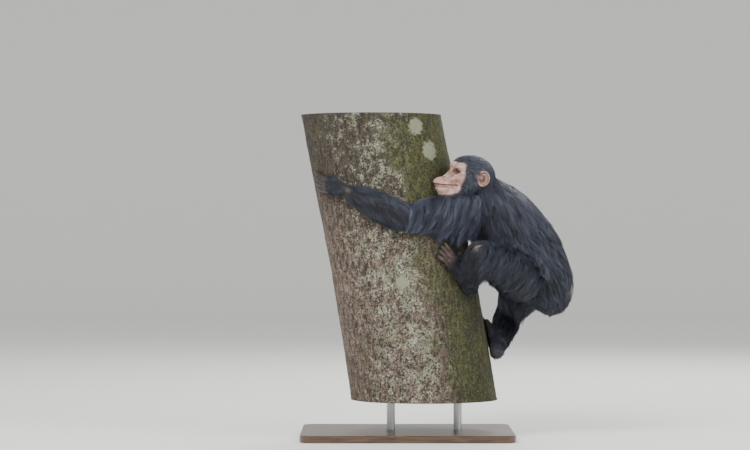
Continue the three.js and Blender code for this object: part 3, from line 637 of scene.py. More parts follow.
def fill_guides():
    """Distance from the skin at the corners of a coarse grid, with the lie of the coat there."""
    step = GUIDE_STEP
    low = np.min([part.low for part in PARTS], 0) - GUIDE_REACH
    high = np.max([part.high for part in PARTS], 0) + GUIDE_REACH
    count = np.ceil((high - low) / step).astype(int) + 1
    whole = np.full(count, FAR, np.float32)
    flow = np.zeros((*count, 3), np.float32)
    axes = [low[k] + step * np.arange(count[k]) for k in range(3)]
    for part in PARTS:
        first = np.clip(((part.low - GUIDE_REACH - low) / step).astype(int), 0, count - 1)
        last = np.clip(((part.high + GUIDE_REACH - low) / step).astype(int) + 1, 1, count)
        block = tuple(slice(a, b) for a, b in zip(first, last))
        spots = np.stack(np.meshgrid(*[axes[k][block[k]] for k in range(3)], indexing="ij"), -1)
        p = spots.reshape(-1, 3)
        found, share, _ = part.measure(p)
        found = found.astype(np.float32)
        whole[block] = soft_min(whole[block], found.reshape(spots.shape[:3]), part.blend)
        weight = np.exp(-np.clip(found, -20, 200) / 13)[:, None]
        flow[block] += (part.heading(p, share) * weight).reshape(spots.shape)
    return {"low": low, "step": step, "fields": np.concatenate([whole[..., None], unit(flow)], -1)}


def halve_steps(values):
    """The same grid of values with new ones halfway between neighbours."""
    for axis in range(3):
        values = np.moveaxis(values, axis, 0)
        finer = np.zeros((values.shape[0] * 2 - 1, *values.shape[1:]), np.float32)
        finer[::2] = values
        finer[1::2] = (values[1:] + values[:-1]) / 2
        values = np.moveaxis(finer, 0, axis)
    return values


# A net of four-sided faces over the surface where a grid of values passes zero.
CELL_CORNERS = np.array([(i, j, k) for i in (0, 1) for j in (0, 1) for k in (0, 1)])
CELL_EDGES = [(a, b) for a in range(8) for b in range(a + 1, 8)
              if abs(CELL_CORNERS[a] - CELL_CORNERS[b]).sum() == 1]


def surface_net(low, step, values):
    inside = values < 0
    size = np.array(values.shape)
    some = np.zeros(size - 1, bool)
    every = np.ones(size - 1, bool)
    for i, j, k in CELL_CORNERS:
        corner = inside[i:size[0] - 1 + i, j:size[1] - 1 + j, k:size[2] - 1 + k]
        some |= corner
        every &= corner
    cells = np.argwhere(some & ~every)
    number = np.full(size - 1, -1, np.int32)
    number[tuple(cells.T)] = np.arange(len(cells))
    at = values[tuple(np.moveaxis(cells[:, None] + CELL_CORNERS, -1, 0))]
    total = np.zeros((len(cells), 3))
    crossings = np.zeros(len(cells))
    for a, b in CELL_EDGES:
        crosses = (at[:, a] < 0) != (at[:, b] < 0)
        gap = np.where(crosses, at[:, a] - at[:, b], 1)
        share = np.where(crosses, at[:, a] / gap, 0)[:, None]
        total += np.where(crosses[:, None], lerp(CELL_CORNERS[a], CELL_CORNERS[b], share), 0)
        crossings += crosses
    points = low + step * (cells + total / crossings[:, None])
    faces = []
    for axis in range(3):
        u, w = (axis + 1) % 3, (axis + 2) % 3
        ahead = [slice(None)] * 3
        behind = [slice(None)] * 3
        ahead[axis] = slice(1, None)
        behind[axis] = slice(None, -1)
        starts = np.argwhere(inside[tuple(behind)] != inside[tuple(ahead)])
        starts = starts[(starts[:, u] > 0) & (starts[:, w] > 0)]
        starts = starts[(starts[:, u] < size[u] - 1) & (starts[:, w] < size[w] - 1)]
        ring = []
        for du, dw in ((1, 1), (0, 1), (0, 0), (1, 0)):
            shift = np.zeros(3, int)
            shift[u], shift[w] = du, dw
            ring.append(number[tuple((starts - shift).T)])
        quads = np.stack(ring, 1)
        outwards = inside[tuple(starts.T)]
        faces.append(np.where(outwards[:, None], quads, quads[:, ::-1]))
    return points, np.concatenate(faces)


def grid_faces(rows, turns):
    """Four-sided faces between rings of points, each ring closed on itself."""
    return np.array([(i * turns + j, i * turns + (j + 1) % turns,
                      (i + 1) * turns + (j + 1) % turns, (i + 1) * turns + j)
                     for i in range(rows) for j in range(turns)])


def new_mesh(name, points, faces):
    """A smooth mesh in metres from points in millimetres and a table of faces with equal sides."""
    faces = np.asarray(faces)
    mesh = bpy.data.meshes.new(name)
    mesh.vertices.add(len(points))
    mesh.vertices.foreach_set("co", (np.asarray(points) * MM).astype(np.float32).ravel())
    mesh.loops.add(faces.size)
    mesh.loops.foreach_set("vertex_index", faces.astype(np.int32).ravel())
    mesh.polygons.add(len(faces))
    mesh.polygons.foreach_set("loop_start", np.arange(0, faces.size, faces.shape[1], dtype=np.int32))
    mesh.update(calc_edges=True)
    mesh.validate()
    mesh.polygons.foreach_set("use_smooth", np.ones(len(mesh.polygons), bool))
    return mesh


def new_object(name, mesh, material=None):
    piece = bpy.data.objects.new(name, mesh)
    bpy.context.scene.collection.objects.link(piece)
    if material:
        mesh.materials.append(material)
    return piece


def mesh_points(mesh):
    points = np.zeros(len(mesh.vertices) * 3, np.float32)
    mesh.vertices.foreach_get("co", points)
    return points.reshape(-1, 3).astype(float) / MM


def store(mesh, name, values):
    attribute = mesh.attributes.new(name, "FLOAT", "POINT")
    attribute.data.foreach_set("value", np.asarray(values, np.float32))


def dress(piece, slot, *nodes):
    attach(piece, "root")
    if nodes:
        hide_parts(*nodes)


# Where the skin is bare, and how it is marked. The skin and the coat share these.

def bare_face(f, side, u):
    """1 on the bare face, in the head's frame."""
    l = np.abs(side)
    brow = 22 * smoothstep(u, 14, 34) * (1 - smoothstep(l, 14, 46))
    jaw = 18 * smoothstep(-u, 60, 88)
    ragged = 1.6 * np.sin(u * 0.9 + l * 0.5) + 1.2 * np.sin(u * 2.1 - l * 1.3)
    edge = f - 45 - brow - jaw + ragged
    return smoothstep(edge, -4, 5) * (1 - smoothstep(u + ragged, 32, 40))


def rump_patch(p):
    """1 on the bare pink skin that the animal sits on."""
    return sum(bell(np.linalg.norm((p - spot) / vec(27, 20, 18), axis=1), 0, 0.9)
               for spot in (vec(558, -66, 506), vec(566, 8, 503)))


def bald_spots(p):
    """1 where the coat is worn thin: the near knee, the near shoulder and the far shin."""
    spots = ((JOINTS["knee_left"] + vec(-6, -26, 18), 20), (vec(6, -268, 834), 15),
             (vec(352, 160, 430), 18))
    return np.clip(sum(bell(np.linalg.norm(p - at, axis=1), 0, size) for at, size in spots), 0, 1)


def grip_marks(p, owner):
    """Share of bare skin on hands and feet: darker under fur, and shading into wrists and ankles."""
    marks = np.zeros(len(p))
    for name, grip in GRIPS.items():
        mine = owner == PART_NUMBER[name]
        limb = ("forearm_" if "hand" in name else "shin_") + name.split("_")[1]
        wrist = grip_point(grip, 8 if "hand" in name else 44, 0, 26)
        marks[mine] = (0.5 if "hand" in name else 1) * (1 - 0.8 * grip_fur(p[mine], name))
        joint = owner == PART_NUMBER[limb]
        marks[joint] = 1 - smoothstep(np.linalg.norm(p[joint] - wrist, axis=1), 30, 62)
    return marks


def skin_marks(p, owner):
    """Shares of face skin, hand skin and pale worn skin at points of the skin."""
    f, l, u = in_head(p)
    face = np.where(owner == PART_NUMBER["head"], bare_face(f, l, u), 0)
    from_eye = np.sqrt((f - EYE_AT[0]) ** 2 + (np.abs(l) - EYE_AT[1]) ** 2 + (u - EYE_AT[2]) ** 2)
    face = np.maximum(face, 1 - smoothstep(from_eye, 17, 20))
    for name in ("ear_left", "ear_right"):
        face = np.maximum(face, 1 - smoothstep(PARTS[PART_NUMBER[name]].measure(p)[0], 3, 7))
    return face, grip_marks(p, owner), np.clip(rump_patch(p) + bald_spots(p), 0, 1)


# Materials.

def linear(colour):
    """Linear light from an sRGB hex colour."""
    channels = [int(colour[i:i + 2], 16) / 255 for i in (1, 3, 5)]
    return [c / 12.92 if c <= 0.04045 else ((c + 0.055) / 1.055) ** 2.4 for c in channels] + [1.0]


def per_mm(size):
    """Scale of a pattern on coordinates in metres whose features are size millimetres."""
    return 1 / (size * MM)


def add_node(tree, kind, inputs=None, **settings):
    """Adds a node with its settings, and fills or links its inputs."""
    node = tree.nodes.new(kind)
    for name, value in settings.items():
        setattr(node, name, value)
    for name, value in (inputs or {}).items():
        if isinstance(value, bpy.types.NodeSocket):
            tree.links.new(value, node.inputs[name])
        else:
            node.inputs[name].default_value = value
    return node


def new_material(name):
    """An empty material with its shader."""
    material = bpy.data.materials.new(name)
    material.use_nodes = True
    return material, material.node_tree, material.node_tree.nodes["Principled BSDF"]


def face_and_hand_skin(looks):
    """Living skin, cast and painted: pinkish tan and freckled on the face, red brown on the hands."""
    material, tree, shader = new_material("painted_cast_skin")
    place = add_node(tree, "ShaderNodeTexCoord").outputs["Object"]
    face, hand, worn, shade = (
        add_node(tree, "ShaderNodeAttribute", attribute_name=name).outputs["Fac"]
        for name in ("face", "hand", "worn", "shade"))
    blotches = add_node(tree, "ShaderNodeTexNoise", {"Vector": place, "Scale": per_mm(16), "Detail": 4.0})
    freckles = add_node(tree, "ShaderNodeTexNoise", {"Vector": place, "Scale": per_mm(3), "Detail": 2.0})
    freckle = add_node(tree, "ShaderNodeMapRange", {0: freckles.outputs["Fac"], 1: 0.56, 2: 0.7})
    blotch = add_node(tree, "ShaderNodeMapRange", {0: blotches.outputs["Fac"], 1: 0.38, 2: 0.66})
    faint = add_node(tree, "ShaderNodeMath", {0: freckle.outputs[0], 1: 0.45}, operation="MULTIPLY")
    tan = add_node(tree, "ShaderNodeMix", {
        0: blotch.outputs[0], 6: list(looks.face_colour), 7: list(looks.face_flush)}, data_type="RGBA")
    spotted = add_node(tree, "ShaderNodeMix", {
        0: faint.outputs[0], 6: tan.outputs[2], 7: list(looks.freckle_colour)}, data_type="RGBA")
    # The shade attribute mixes in painted shade in the nostrils, along the mouth and in the ears' hollows,
    # and the darker skin round the eyes, partly painted shade.
    shaded = add_node(tree, "ShaderNodeMix", {
        0: shade, 6: spotted.outputs[2], 7: list(looks.dark_skin_and_painted_shade)}, data_type="RGBA")
    palm = add_node(tree, "ShaderNodeMix", {
        0: blotch.outputs[0], 6: list(looks.hand_colour), 7: list(looks.hand_dark)}, data_type="RGBA")
    under = add_node(tree, "ShaderNodeMix", {
        0: hand, 6: list(looks.body_colour), 7: palm.outputs[2]}, data_type="RGBA")
    pale = add_node(tree, "ShaderNodeMix", {
        0: worn, 6: under.outputs[2], 7: list(looks.worn_colour)}, data_type="RGBA")
    whole = add_node(tree, "ShaderNodeMix", {
        0: face, 6: pale.outputs[2], 7: shaded.outputs[2]}, data_type="RGBA")
    creases = add_node(tree, "ShaderNodeTexVoronoi", {"Vector": place, "Scale": per_mm(1.6)},
                       feature="DISTANCE_TO_EDGE")
    crease = add_node(tree, "ShaderNodeMapRange", {0: creases.outputs["Distance"], 1: 0.0, 2: 0.16})
    pores = add_node(tree, "ShaderNodeTexNoise", {"Vector": place, "Scale": per_mm(0.9), "Detail": 3.0})
    height = add_node(tree, "ShaderNodeMath", {
        0: crease.outputs[0], 1: pores.outputs["Fac"]}, operation="ADD")
    bump = add_node(tree, "ShaderNodeBump", {
        "Height": height.outputs[0], "Strength": 0.45, "Distance": 0.3 * MM})
    rough = add_node(tree, "ShaderNodeMapRange", {0: blotches.outputs["Fac"], 3: 0.42, 4: 0.62})
    tree.links.new(whole.outputs[2], shader.inputs["Base Color"])
    tree.links.new(bump.outputs["Normal"], shader.inputs["Normal"])
    tree.links.new(rough.outputs[0], shader.inputs["Roughness"])
    shader.inputs["Subsurface Weight"].default_value = 0.12
    shader.inputs["Subsurface Radius"].default_value = (0.004, 0.0018, 0.001)
    shader.inputs["Subsurface Scale"].default_value = 1.0
    return material


def black_hair(looks):
    """Coarse black guard hair: nearly black through, with a cool blue-grey shine along its back that is
    painted into its colour as lighter locks, besides the shader's own sheen, and painted shade towards the
    roots.
    """
    material, tree, shader = new_material("coarse_black_guard_hair")
    tone = add_node(tree, "ShaderNodeAttribute", attribute_name="tone").outputs["Fac"]
    pale = add_node(tree, "ShaderNodeAttribute", attribute_name="pale").outputs["Fac"]
    # The tone mixes the black hair towards a painted blue-grey sheen.
    dark = add_node(tree, "ShaderNodeMix", {
        0: tone, 6: list(looks.hair_dark), 7: list(looks.hair_painted_sheen)}, data_type="RGBA")
    whole = add_node(tree, "ShaderNodeMix", {
        0: pale, 6: dark.outputs[2], 7: list(looks.hair_pale)}, data_type="RGBA")
    tree.links.new(whole.outputs[2], shader.inputs["Base Color"])
    shader.inputs["Roughness"].default_value = 0.42
    shader.inputs["IOR"].default_value = 1.55
    shader.inputs["Sheen Weight"].default_value = 0.18
    shader.inputs["Sheen Roughness"].default_value = 0.35
    shader.inputs["Sheen Tint"].default_value = list(looks.sheen_colour)
    return material


def glass_eye(looks):
    """A cast glass eye: dark brown iris in a near-black white, under a clear wet cornea."""
    material, tree, shader = new_material("cast_glass_eye")
    ring = add_node(tree, "ShaderNodeAttribute", attribute_name="ring").outputs["Fac"]
    turn = add_node(tree, "ShaderNodeAttribute", attribute_name="turn").outputs["Fac"]
    spoke_place = add_node(tree, "ShaderNodeCombineXYZ", {"X": turn, "Y": ring})
    spokes = add_node(tree, "ShaderNodeTexNoise", {
        "Vector": spoke_place.outputs[0], "Scale": 26.0, "Detail": 3.0})
    iris = add_node(tree, "ShaderNodeMix", {
        0: spokes.outputs["Fac"], 6: list(looks.iris_dark), 7: list(looks.iris_colour)}, data_type="RGBA")
    pupil = add_node(tree, "ShaderNodeMapRange", {0: ring, 1: 0.16, 2: 0.2})
    edge = add_node(tree, "ShaderNodeMapRange", {0: ring, 1: 0.48, 2: 0.56})
    core = add_node(tree, "ShaderNodeMix", {
        0: pupil.outputs[0], 6: linear("#050404"), 7: iris.outputs[2]}, data_type="RGBA")
    whole = add_node(tree, "ShaderNodeMix", {
        0: edge.outputs[0], 6: core.outputs[2], 7: list(looks.sclera_colour)}, data_type="RGBA")
    tree.links.new(whole.outputs[2], shader.inputs["Base Color"])
    shader.inputs["Roughness"].default_value = 0.12
    shader.inputs["Coat Weight"].default_value = 0.5
    shader.inputs["Coat Roughness"].default_value = 0.04
    return material


def dark_nail(looks):
    """Nail of dark horn, smooth along its growth, with fine lengthwise lines."""
    material, tree, shader = new_material("smooth_dark_horn")
    place = add_node(tree, "ShaderNodeTexCoord").outputs["Object"]
    grain = add_node(tree, "ShaderNodeTexNoise", {"Vector": place, "Scale": per_mm(2.5), "Detail": 3.0})
    tone = add_node(tree, "ShaderNodeMix", {
        0: grain.outputs["Fac"], 6: list(looks.nail_dark), 7: list(looks.nail_colour)}, data_type="RGBA")
    bump = add_node(tree, "ShaderNodeBump", {
        "Height": grain.outputs["Fac"], "Strength": 0.3, "Distance": 0.1 * MM})
    tree.links.new(tone.outputs[2], shader.inputs["Base Color"])
    tree.links.new(bump.outputs["Normal"], shader.inputs["Normal"])
    shader.inputs["Roughness"].default_value = 0.3
    return material


def lichened_bark(looks):
    """Tropical bark: brown and pink where bare, speckled by grey green lichen, mossy on its damp side, with
    painted shade on its right side away from the main light, towards its top and round its back, and in its
    pits.
    """
    material, tree, shader = new_material("lichened_smooth_bark")
    place = add_node(tree, "ShaderNodeTexCoord").outputs["Object"]
    tall = add_node(tree, "ShaderNodeMapping", {"Vector": place, "Scale": (1.0, 1.0, 0.3)}).outputs[0]
    pale_side, shade, moss_side, disc = (
        add_node(tree, "ShaderNodeAttribute", attribute_name=name).outputs["Fac"]
        for name in ("side", "shade", "moss", "disc"))
    # The width of each in millimetres: streaks, crusts, specks, pits and broad damp areas.
    streaks, patches, specks, pits, broad = (
        add_node(tree, "ShaderNodeTexNoise", {
            "Vector": vector, "Scale": per_mm(size), "Detail": detail, "Roughness": rough}).outputs["Fac"]
        for vector, size, detail, rough in (
            (tall, 11, 6.0, 0.65), (place, 34, 9.0, 0.78), (place, 10, 6.0, 0.75),
            (place, 7, 4.0, 0.7), (place, 90, 6.0, 0.6)))
    crust_level, speck_level, damp_level, rough_level = (
        add_node(tree, "ShaderNodeMath", {0: first, 1: second}, operation="ADD").outputs[0]
        for first, second in (
            (patches, pale_side), (specks, pale_side), (broad, moss_side), (pits, specks)))
    moss_level, height = (
        add_node(tree, "ShaderNodeMath", {0: first, 1: second}, operation="ADD").outputs[0]
        for first, second in ((damp_level, pits), (rough_level, streaks)))
    # The darkest pits get painted shade, where the pits noise is lowest, in the hollows of the bark.
    pinkness, paleness, crusting, specking, mossiness, moss_tone, pit_shade, disc_tone = (
        add_node(tree, "ShaderNodeMapRange", {0: level, 1: low, 2: high, 4: most}).outputs[0]
        for level, low, high, most in (
            (streaks, 0.36, 0.62, 1.0), (specks, 0.42, 0.7, 1.0), (crust_level, 0.5, 0.58, 0.85),
            (speck_level, 0.6, 0.67, 0.75), (moss_level, 1.12, 1.4, 0.9), (streaks, 0.35, 0.65, 1.0),
            (pits, 0.5, 0.43, 0.92), (specks, 0.3, 0.7, 1.0)))
    bare, crust, green, round_crust = (
        add_node(tree, "ShaderNodeMix", {
            0: share, 6: list(first), 7: list(second)}, data_type="RGBA").outputs[2]
        for share, first, second in (
            (pinkness, looks.bark_brown, looks.bark_pink), (paleness, looks.lichen_green, looks.lichen_pale),
            (moss_tone, looks.moss_dark, looks.moss_colour),
            (disc_tone, looks.lichen_green, looks.disc_colour)))
    whole = bare
    # The shade layer is painted shade, heaviest on the right side away from the main light.
    for share, layer in (
        (shade, list(looks.dark_bark_and_painted_shade)), (crusting, crust), (specking, list(looks.lichen_pale)),
        (mossiness, green), (pit_shade, list(looks.dark_bark_and_painted_shade)), (disc, round_crust),
    ):
        whole = add_node(tree, "ShaderNodeMix", {0: share, 6: whole, 7: layer}, data_type="RGBA").outputs[2]
    bump = add_node(tree, "ShaderNodeBump", {"Height": height, "Strength": 0.7, "Distance": 2.0 * MM})
    tree.links.new(whole, shader.inputs["Base Color"])
    tree.links.new(bump.outputs["Normal"], shader.inputs["Normal"])
    shader.inputs["Roughness"].default_value = 0.9
    return material


def sawn_end(looks):
    """The trunk's sawn ends: pale wood with growth rings and a dark rim of bark."""
    material, tree, shader = new_material("sawn_end_grain")
    ring = add_node(tree, "ShaderNodeAttribute", attribute_name="ring").outputs["Fac"]
    place = add_node(tree, "ShaderNodeTexCoord").outputs["Object"]
    wander = add_node(tree, "ShaderNodeTexNoise", {"Vector": place, "Scale": per_mm(90), "Detail": 3.0})
    turn = add_node(tree, "ShaderNodeMath", {0: wander.outputs["Fac"], 1: 0.12}, operation="MULTIPLY")
    reach = add_node(tree, "ShaderNodeMath", {0: ring, 1: turn.outputs[0]}, operation="ADD")
    waves = add_node(tree, "ShaderNodeMath", {0: reach.outputs[0], 1: 230.0}, operation="MULTIPLY")
    wave = add_node(tree, "ShaderNodeMath", {0: waves.outputs[0]}, operation="SINE")
    band = add_node(tree, "ShaderNodeMapRange", {0: wave.outputs[0], 1: -0.2, 2: 1.0, 4: 0.7})
    wood = add_node(tree, "ShaderNodeMix", {
        0: band.outputs[0], 6: list(looks.wood_pale), 7: list(looks.wood_ring)}, data_type="RGBA")
    rim = add_node(tree, "ShaderNodeMapRange", {0: ring, 1: 0.94, 2: 0.96})
    whole = add_node(tree, "ShaderNodeMix", {
        0: rim.outputs[0], 6: wood.outputs[2], 7: list(looks.dark_bark_and_painted_shade)}, data_type="RGBA")
    saw = add_node(tree, "ShaderNodeTexNoise", {"Vector": place, "Scale": per_mm(3), "Detail": 4.0})
    bump = add_node(tree, "ShaderNodeBump", {
        "Height": saw.outputs["Fac"], "Strength": 0.4, "Distance": 0.5 * MM})
    tree.links.new(whole.outputs[2], shader.inputs["Base Color"])
    tree.links.new(bump.outputs["Normal"], shader.inputs["Normal"])
    shader.inputs["Roughness"].default_value = 0.75
    return material


def varnished_board(looks):
    """Dark stained hardwood under a satin varnish, planed along its length."""
    material, tree, shader = new_material("satin_varnished_hardwood")
    place = add_node(tree, "ShaderNodeTexCoord").outputs["Object"]
    long = add_node(tree, "ShaderNodeMapping", {"Vector": place, "Scale": (0.06, 1.0, 1.0)})
    grain = add_node(tree, "ShaderNodeTexNoise", {
        "Vector": long.outputs[0], "Scale": per_mm(7), "Detail": 6.0, "Distortion": 1.2})
    band = add_node(tree, "ShaderNodeMapRange", {0: grain.outputs["Fac"], 1: 0.3, 2: 0.7})
    wood = add_node(tree, "ShaderNodeMix", {
        0: band.outputs[0], 6: list(looks.board_dark), 7: list(looks.board_colour)}, data_type="RGBA")
    bump = add_node(tree, "ShaderNodeBump", {
        "Height": grain.outputs["Fac"], "Strength": 0.2, "Distance": 0.2 * MM})
    tree.links.new(wood.outputs[2], shader.inputs["Base Color"])
    tree.links.new(bump.outputs["Normal"], shader.inputs["Normal"])
    shader.inputs["Roughness"].default_value = 0.34
    shader.inputs["Coat Weight"].default_value = 0.3
    shader.inputs["Coat Roughness"].default_value = 0.2
    return material


def brushed_steel(looks):
    """Steel bar brushed round its length: fine rings that spread the shine."""
    material, tree, shader = new_material("brushed_steel_bar")
    place = add_node(tree, "ShaderNodeTexCoord").outputs["Object"]
    flat = add_node(tree, "ShaderNodeMapping", {"Vector": place, "Scale": (0.05, 0.05, 1.0)})
    rings = add_node(tree, "ShaderNodeTexNoise", {
        "Vector": flat.outputs[0], "Scale": per_mm(0.8), "Detail": 3.0})
    rough = add_node(tree, "ShaderNodeMapRange", {0: rings.outputs["Fac"], 3: 0.28, 4: 0.45})
    bump = add_node(tree, "ShaderNodeBump", {
        "Height": rings.outputs["Fac"], "Strength": 0.15, "Distance": 0.05 * MM})
    tree.links.new(rough.outputs[0], shader.inputs["Roughness"])
    tree.links.new(bump.outputs["Normal"], shader.inputs["Normal"])
    shader.inputs["Base Color"].default_value = list(looks.steel_colour)
    shader.inputs["Metallic"].default_value = 1.0
    return material


# Skin.
FLESH_NODES = (
    "head", "chest", "hips", "neck", "ear_left", "ear_right",
    *(f"{part}_{side}" for side in ("left", "right")
      for part in ("upper_arm", "forearm", "hand", "thigh", "shin", "foot")),
)
# Parts whose bare skin keeps its small faces, and those of them that are split once more.
BARE_DETAIL = ("head", "ear_left", "ear_right", "hand_left", "hand_right", "foot_left", "foot_right")
CLOSE_UP = ("head", "ear_left", "ear_right", "hand_left")
THINNED_SHARE = 0.19
# The front of the face, in the head's frame, that is split twice, and the ball that is settled again.
FACE_BACK, FACE_TOP, FACE_FOOT = 54, 20, -74
FACE_CENTRE = head_point(78, 0, -30)
FACE_REACH = 72


def split_faces(mesh, wanted):
    """Splits the edges between wanted points in two, and the faces there with them."""
    work = bmesh.new()
    work.from_mesh(mesh)
    work.verts.ensure_lookup_table()
    edges = [e for e in work.edges if wanted[e.verts[0].index] and wanted[e.verts[1].index]]
    bmesh.ops.subdivide_edges(work, edges=edges, cuts=1, use_grid_fill=True)
    work.to_mesh(mesh)
    work.free()


def make_skin_mesh():
    """A net over the skin, measured again at half the coarse grid's step where the skin is near."""
    guides = guide_grid()
    values = halve_steps(guides["fields"][..., 0])
    step = guides["step"] / 2
    close = np.argwhere(np.abs(values) < SKIN_BAND)
    p = guides["low"] + step * close
    values[tuple(close.T)] = skin_distance(p)[0]
    x, y, z = (guides["low"][k] + step * np.arange(values.shape[k]) for k in range(3))
    x, y, z = np.meshgrid(x, y, z, indexing="ij", sparse=True)
    off = np.hypot(x - trunk_x(z), y) - trunk_radius(z) - bark_swell(np.arctan2(y, x - trunk_x(z)), z)
    values = np.maximum(values, BARK_CLEARANCE - off.astype(np.float32))
    points, faces = surface_net(guides["low"], step, values)
    return new_mesh("chimpanzee_skin", points, faces)


def thin_out(piece, keep, ratio):
    """Collapses small faces, but not at the points to keep."""
    group = piece.vertex_groups.new(name="thin")
    group.add(np.flatnonzero(~keep).tolist(), 1, "REPLACE")
    modifier = piece.modifiers.new("thin", "DECIMATE")
    modifier.ratio = ratio
    modifier.vertex_group = "thin"
    graph = bpy.context.evaluated_depsgraph_get()
    result = bpy.data.meshes.new_from_object(piece.evaluated_get(graph), depsgraph=graph)
    piece.modifiers.remove(modifier)
    piece.vertex_groups.clear()
    old = piece.data
    piece.data = result
    bpy.data.meshes.remove(old)
    return result


def largest_piece(mesh):
    """Keeps the largest connected surface."""
    work = bmesh.new()
    work.from_mesh(mesh)
    seen = set()
    groups = []
    for start in work.verts:
        if start in seen:
            continue
        group = [start]
        seen.add(start)
        for vert in group:
            for edge in vert.link_edges:
                other = edge.other_vert(vert)
                if other not in seen:
                    seen.add(other)
                    group.append(other)
        groups.append(group)
    groups.sort(key=len, reverse=True)
    loose = [v for group in groups[1:] for v in group]
    bmesh.ops.delete(work, geom=loose, context="VERTS")
    work.to_mesh(mesh)
    work.free()


def place_points(mesh, points):
    mesh.vertices.foreach_set("co", (points * MM).astype(np.float32).ravel())
    mesh.update()


def build_skin(looks):
    mesh = make_skin_mesh()
    largest_piece(mesh)
    piece = new_object("chimpanzee_skin", mesh)
    points = mesh_points(mesh)
    owner = skin_distance(points)[1]
    thinned = thin_out(piece, shown_bare(points, owner), THINNED_SHARE)
    points = mesh_points(thinned)
    owner = skin_distance(points)[1]
    close_up = [PART_NUMBER[name] for name in CLOSE_UP]
    split_faces(thinned, shown_bare(points, owner) & np.isin(owner, close_up))
    points = settle_on_skin(mesh_points(thinned), 1)
    place_points(thinned, points)
    f, _, u = in_head(points)
    owner = skin_distance(points)[1]
    front = (owner == PART_NUMBER["head"]) & (f > FACE_BACK) & (u < FACE_TOP) & (u > FACE_FOOT)
    split_faces(thinned, front)
    points = mesh_points(thinned)
    fine = np.linalg.norm(points - FACE_CENTRE, axis=1) < FACE_REACH
    points[fine] = settle_on_skin(points[fine], 2)
    place_points(thinned, points)
    thinned.polygons.foreach_set("use_smooth", np.ones(len(thinned.polygons), bool))
    thinned.materials.append(face_and_hand_skin(looks))
    owner = skin_distance(points)[1]
    face, hand, worn = skin_marks(points, owner)
    marks = {"face": face, "hand": hand, "worn": worn, "shade": face_painted_shade_and_dark_skin(points, owner)}
    for name, values in marks.items():
        store(thinned, name, values)
    dress(piece, "face_skin", *FLESH_NODES)


def shown_bare(p, owner):
    """Points of the skin that no coat covers, so that they need small faces."""
    f = in_head(p)[0]
    bare = np.isin(owner, [PART_NUMBER[name] for name in BARE_DETAIL])
    return bare & ((owner != PART_NUMBER["head"]) | (f > 38)) & (bark_distance(p)[0] > 8)


def face_painted_shade_and_dark_skin(p, owner):
    """Painted shade in the nostrils, along the line between the lips and in the ears' bowls and troughs;
    darker skin round the eyes and along the bridge of the nose, partly its own colour and partly painted
    shade; a darker patch on each cheek; and darker skin all over the ears.
    """
    f, side, u = in_head(p)
    l = np.abs(side)
    from_eye = np.sqrt((f - EYE_AT[0] - 6) ** 2 + (l - EYE_AT[1]) ** 2 + (u - EYE_AT[2]) ** 2)
    eyes = 0.8 * (1 - smoothstep(from_eye, 10, 21))
    bridge = 0.45 * bell(l, 6, 9) * bell(u, -6, 14) * smoothstep(f, 60, 72)
    mouth = 0.8 * bell(u - mouth_line(f), 0, 2.0) * smoothstep(f, 50, 56)
    nose = 0.8 * (1 - smoothstep(ball_distance(NOSTRIL, f, l, u), 0, 3))
    cheek = 0.75 * bell(np.hypot((f - 78) / 9, (u + 40) / 7), 0, 1) * smoothstep(l, 14, 22)
    shade = np.clip(np.maximum.reduce([eyes, bridge, mouth, nose, cheek]), 0, 1)
    ears = (owner == PART_NUMBER["ear_left"]) | (owner == PART_NUMBER["ear_right"])
    x = (l - EAR_AT[1]) * math.sin(EAR_FACING) - (f - EAR_AT[0]) * math.cos(EAR_FACING)
    y = u - EAR_AT[2]
    bowl = 0.95 * (1 - smoothstep(np.hypot((x + 5) / 11, (y + 4) / 14), 0.5, 1.3))
    trough = 0.85 * bell(np.hypot(x / (EAR_WIDTH / 2), y / (EAR_HEIGHT / 2)), 0.7, 0.08)
    return np.where(ears, np.maximum.reduce([bowl, trough, np.full(len(p), 0.28)]), shade)


# Coat.
GUIDES = {}
COATS = (
    # piece, owner, share along from and to, tufts, points, length, depth, droop, along, lock's width
    ("coat_head", "head", 0, 1, 9300, 4, 22, 6, 0.1, 1, 7),
    ("coat_neck", "neck", 0, 1, 3400, 5, 62, 15, 0.8, 0.7, 13),
    ("coat_shoulders", "torso", 0, 0.34, 5200, 5, 88, 19, 0.9, 0.6, 17),
    ("coat_back", "torso", 0.34, 0.64, 5700, 4, 62, 18, 0.25, 1, 15),
    ("coat_rump", "torso", 0.64, 1, 4500, 4, 50, 16, 0.25, 1, 13),
    ("coat_upper_arm_left", "upper_arm_left", 0, 1, 5100, 5, 80, 20, 1.1, 0.6, 16),
    ("coat_forearm_left", "forearm_left", 0, 1, 4000, 5, 62, 16, 0.7, 0.9, 13),
    ("coat_upper_arm_right", "upper_arm_right", 0, 1, 3700, 5, 80, 18, 1.0, 0.7, 16),
    ("coat_forearm_right", "forearm_right", 0, 1, 3200, 5, 60, 15, 0.7, 0.9, 13),
    ("coat_thigh_left", "thigh_left", 0, 1, 5000, 5, 66, 14, 0.9, 0.6, 14),
    ("coat_shin_left", "shin_left", 0, 1, 2700, 5, 50, 11, 0.5, 0.9, 11),
    ("coat_thigh_right", "thigh_right", 0, 1, 3900, 5, 62, 14, 0.7, 0.8, 14),
    ("coat_shin_right", "shin_right", 0, 1, 2600, 5, 50, 12, 0.4, 1, 11),
    ("coat_hand_left", "hand_left", 0, 1, 1500, 4, 24, 5, 0.1, 1, 7),
    ("coat_hand_right", "hand_right", 0, 1, 1000, 4, 22, 4, 0.1, 1, 7),
    ("coat_foot_left", "foot_left", 0, 1, 2200, 4, 28, 6, 0.1, 1, 7),
    ("coat_foot_right", "foot_right", 0, 1, 1500, 4, 26, 5, 0.1, 1, 7),
)
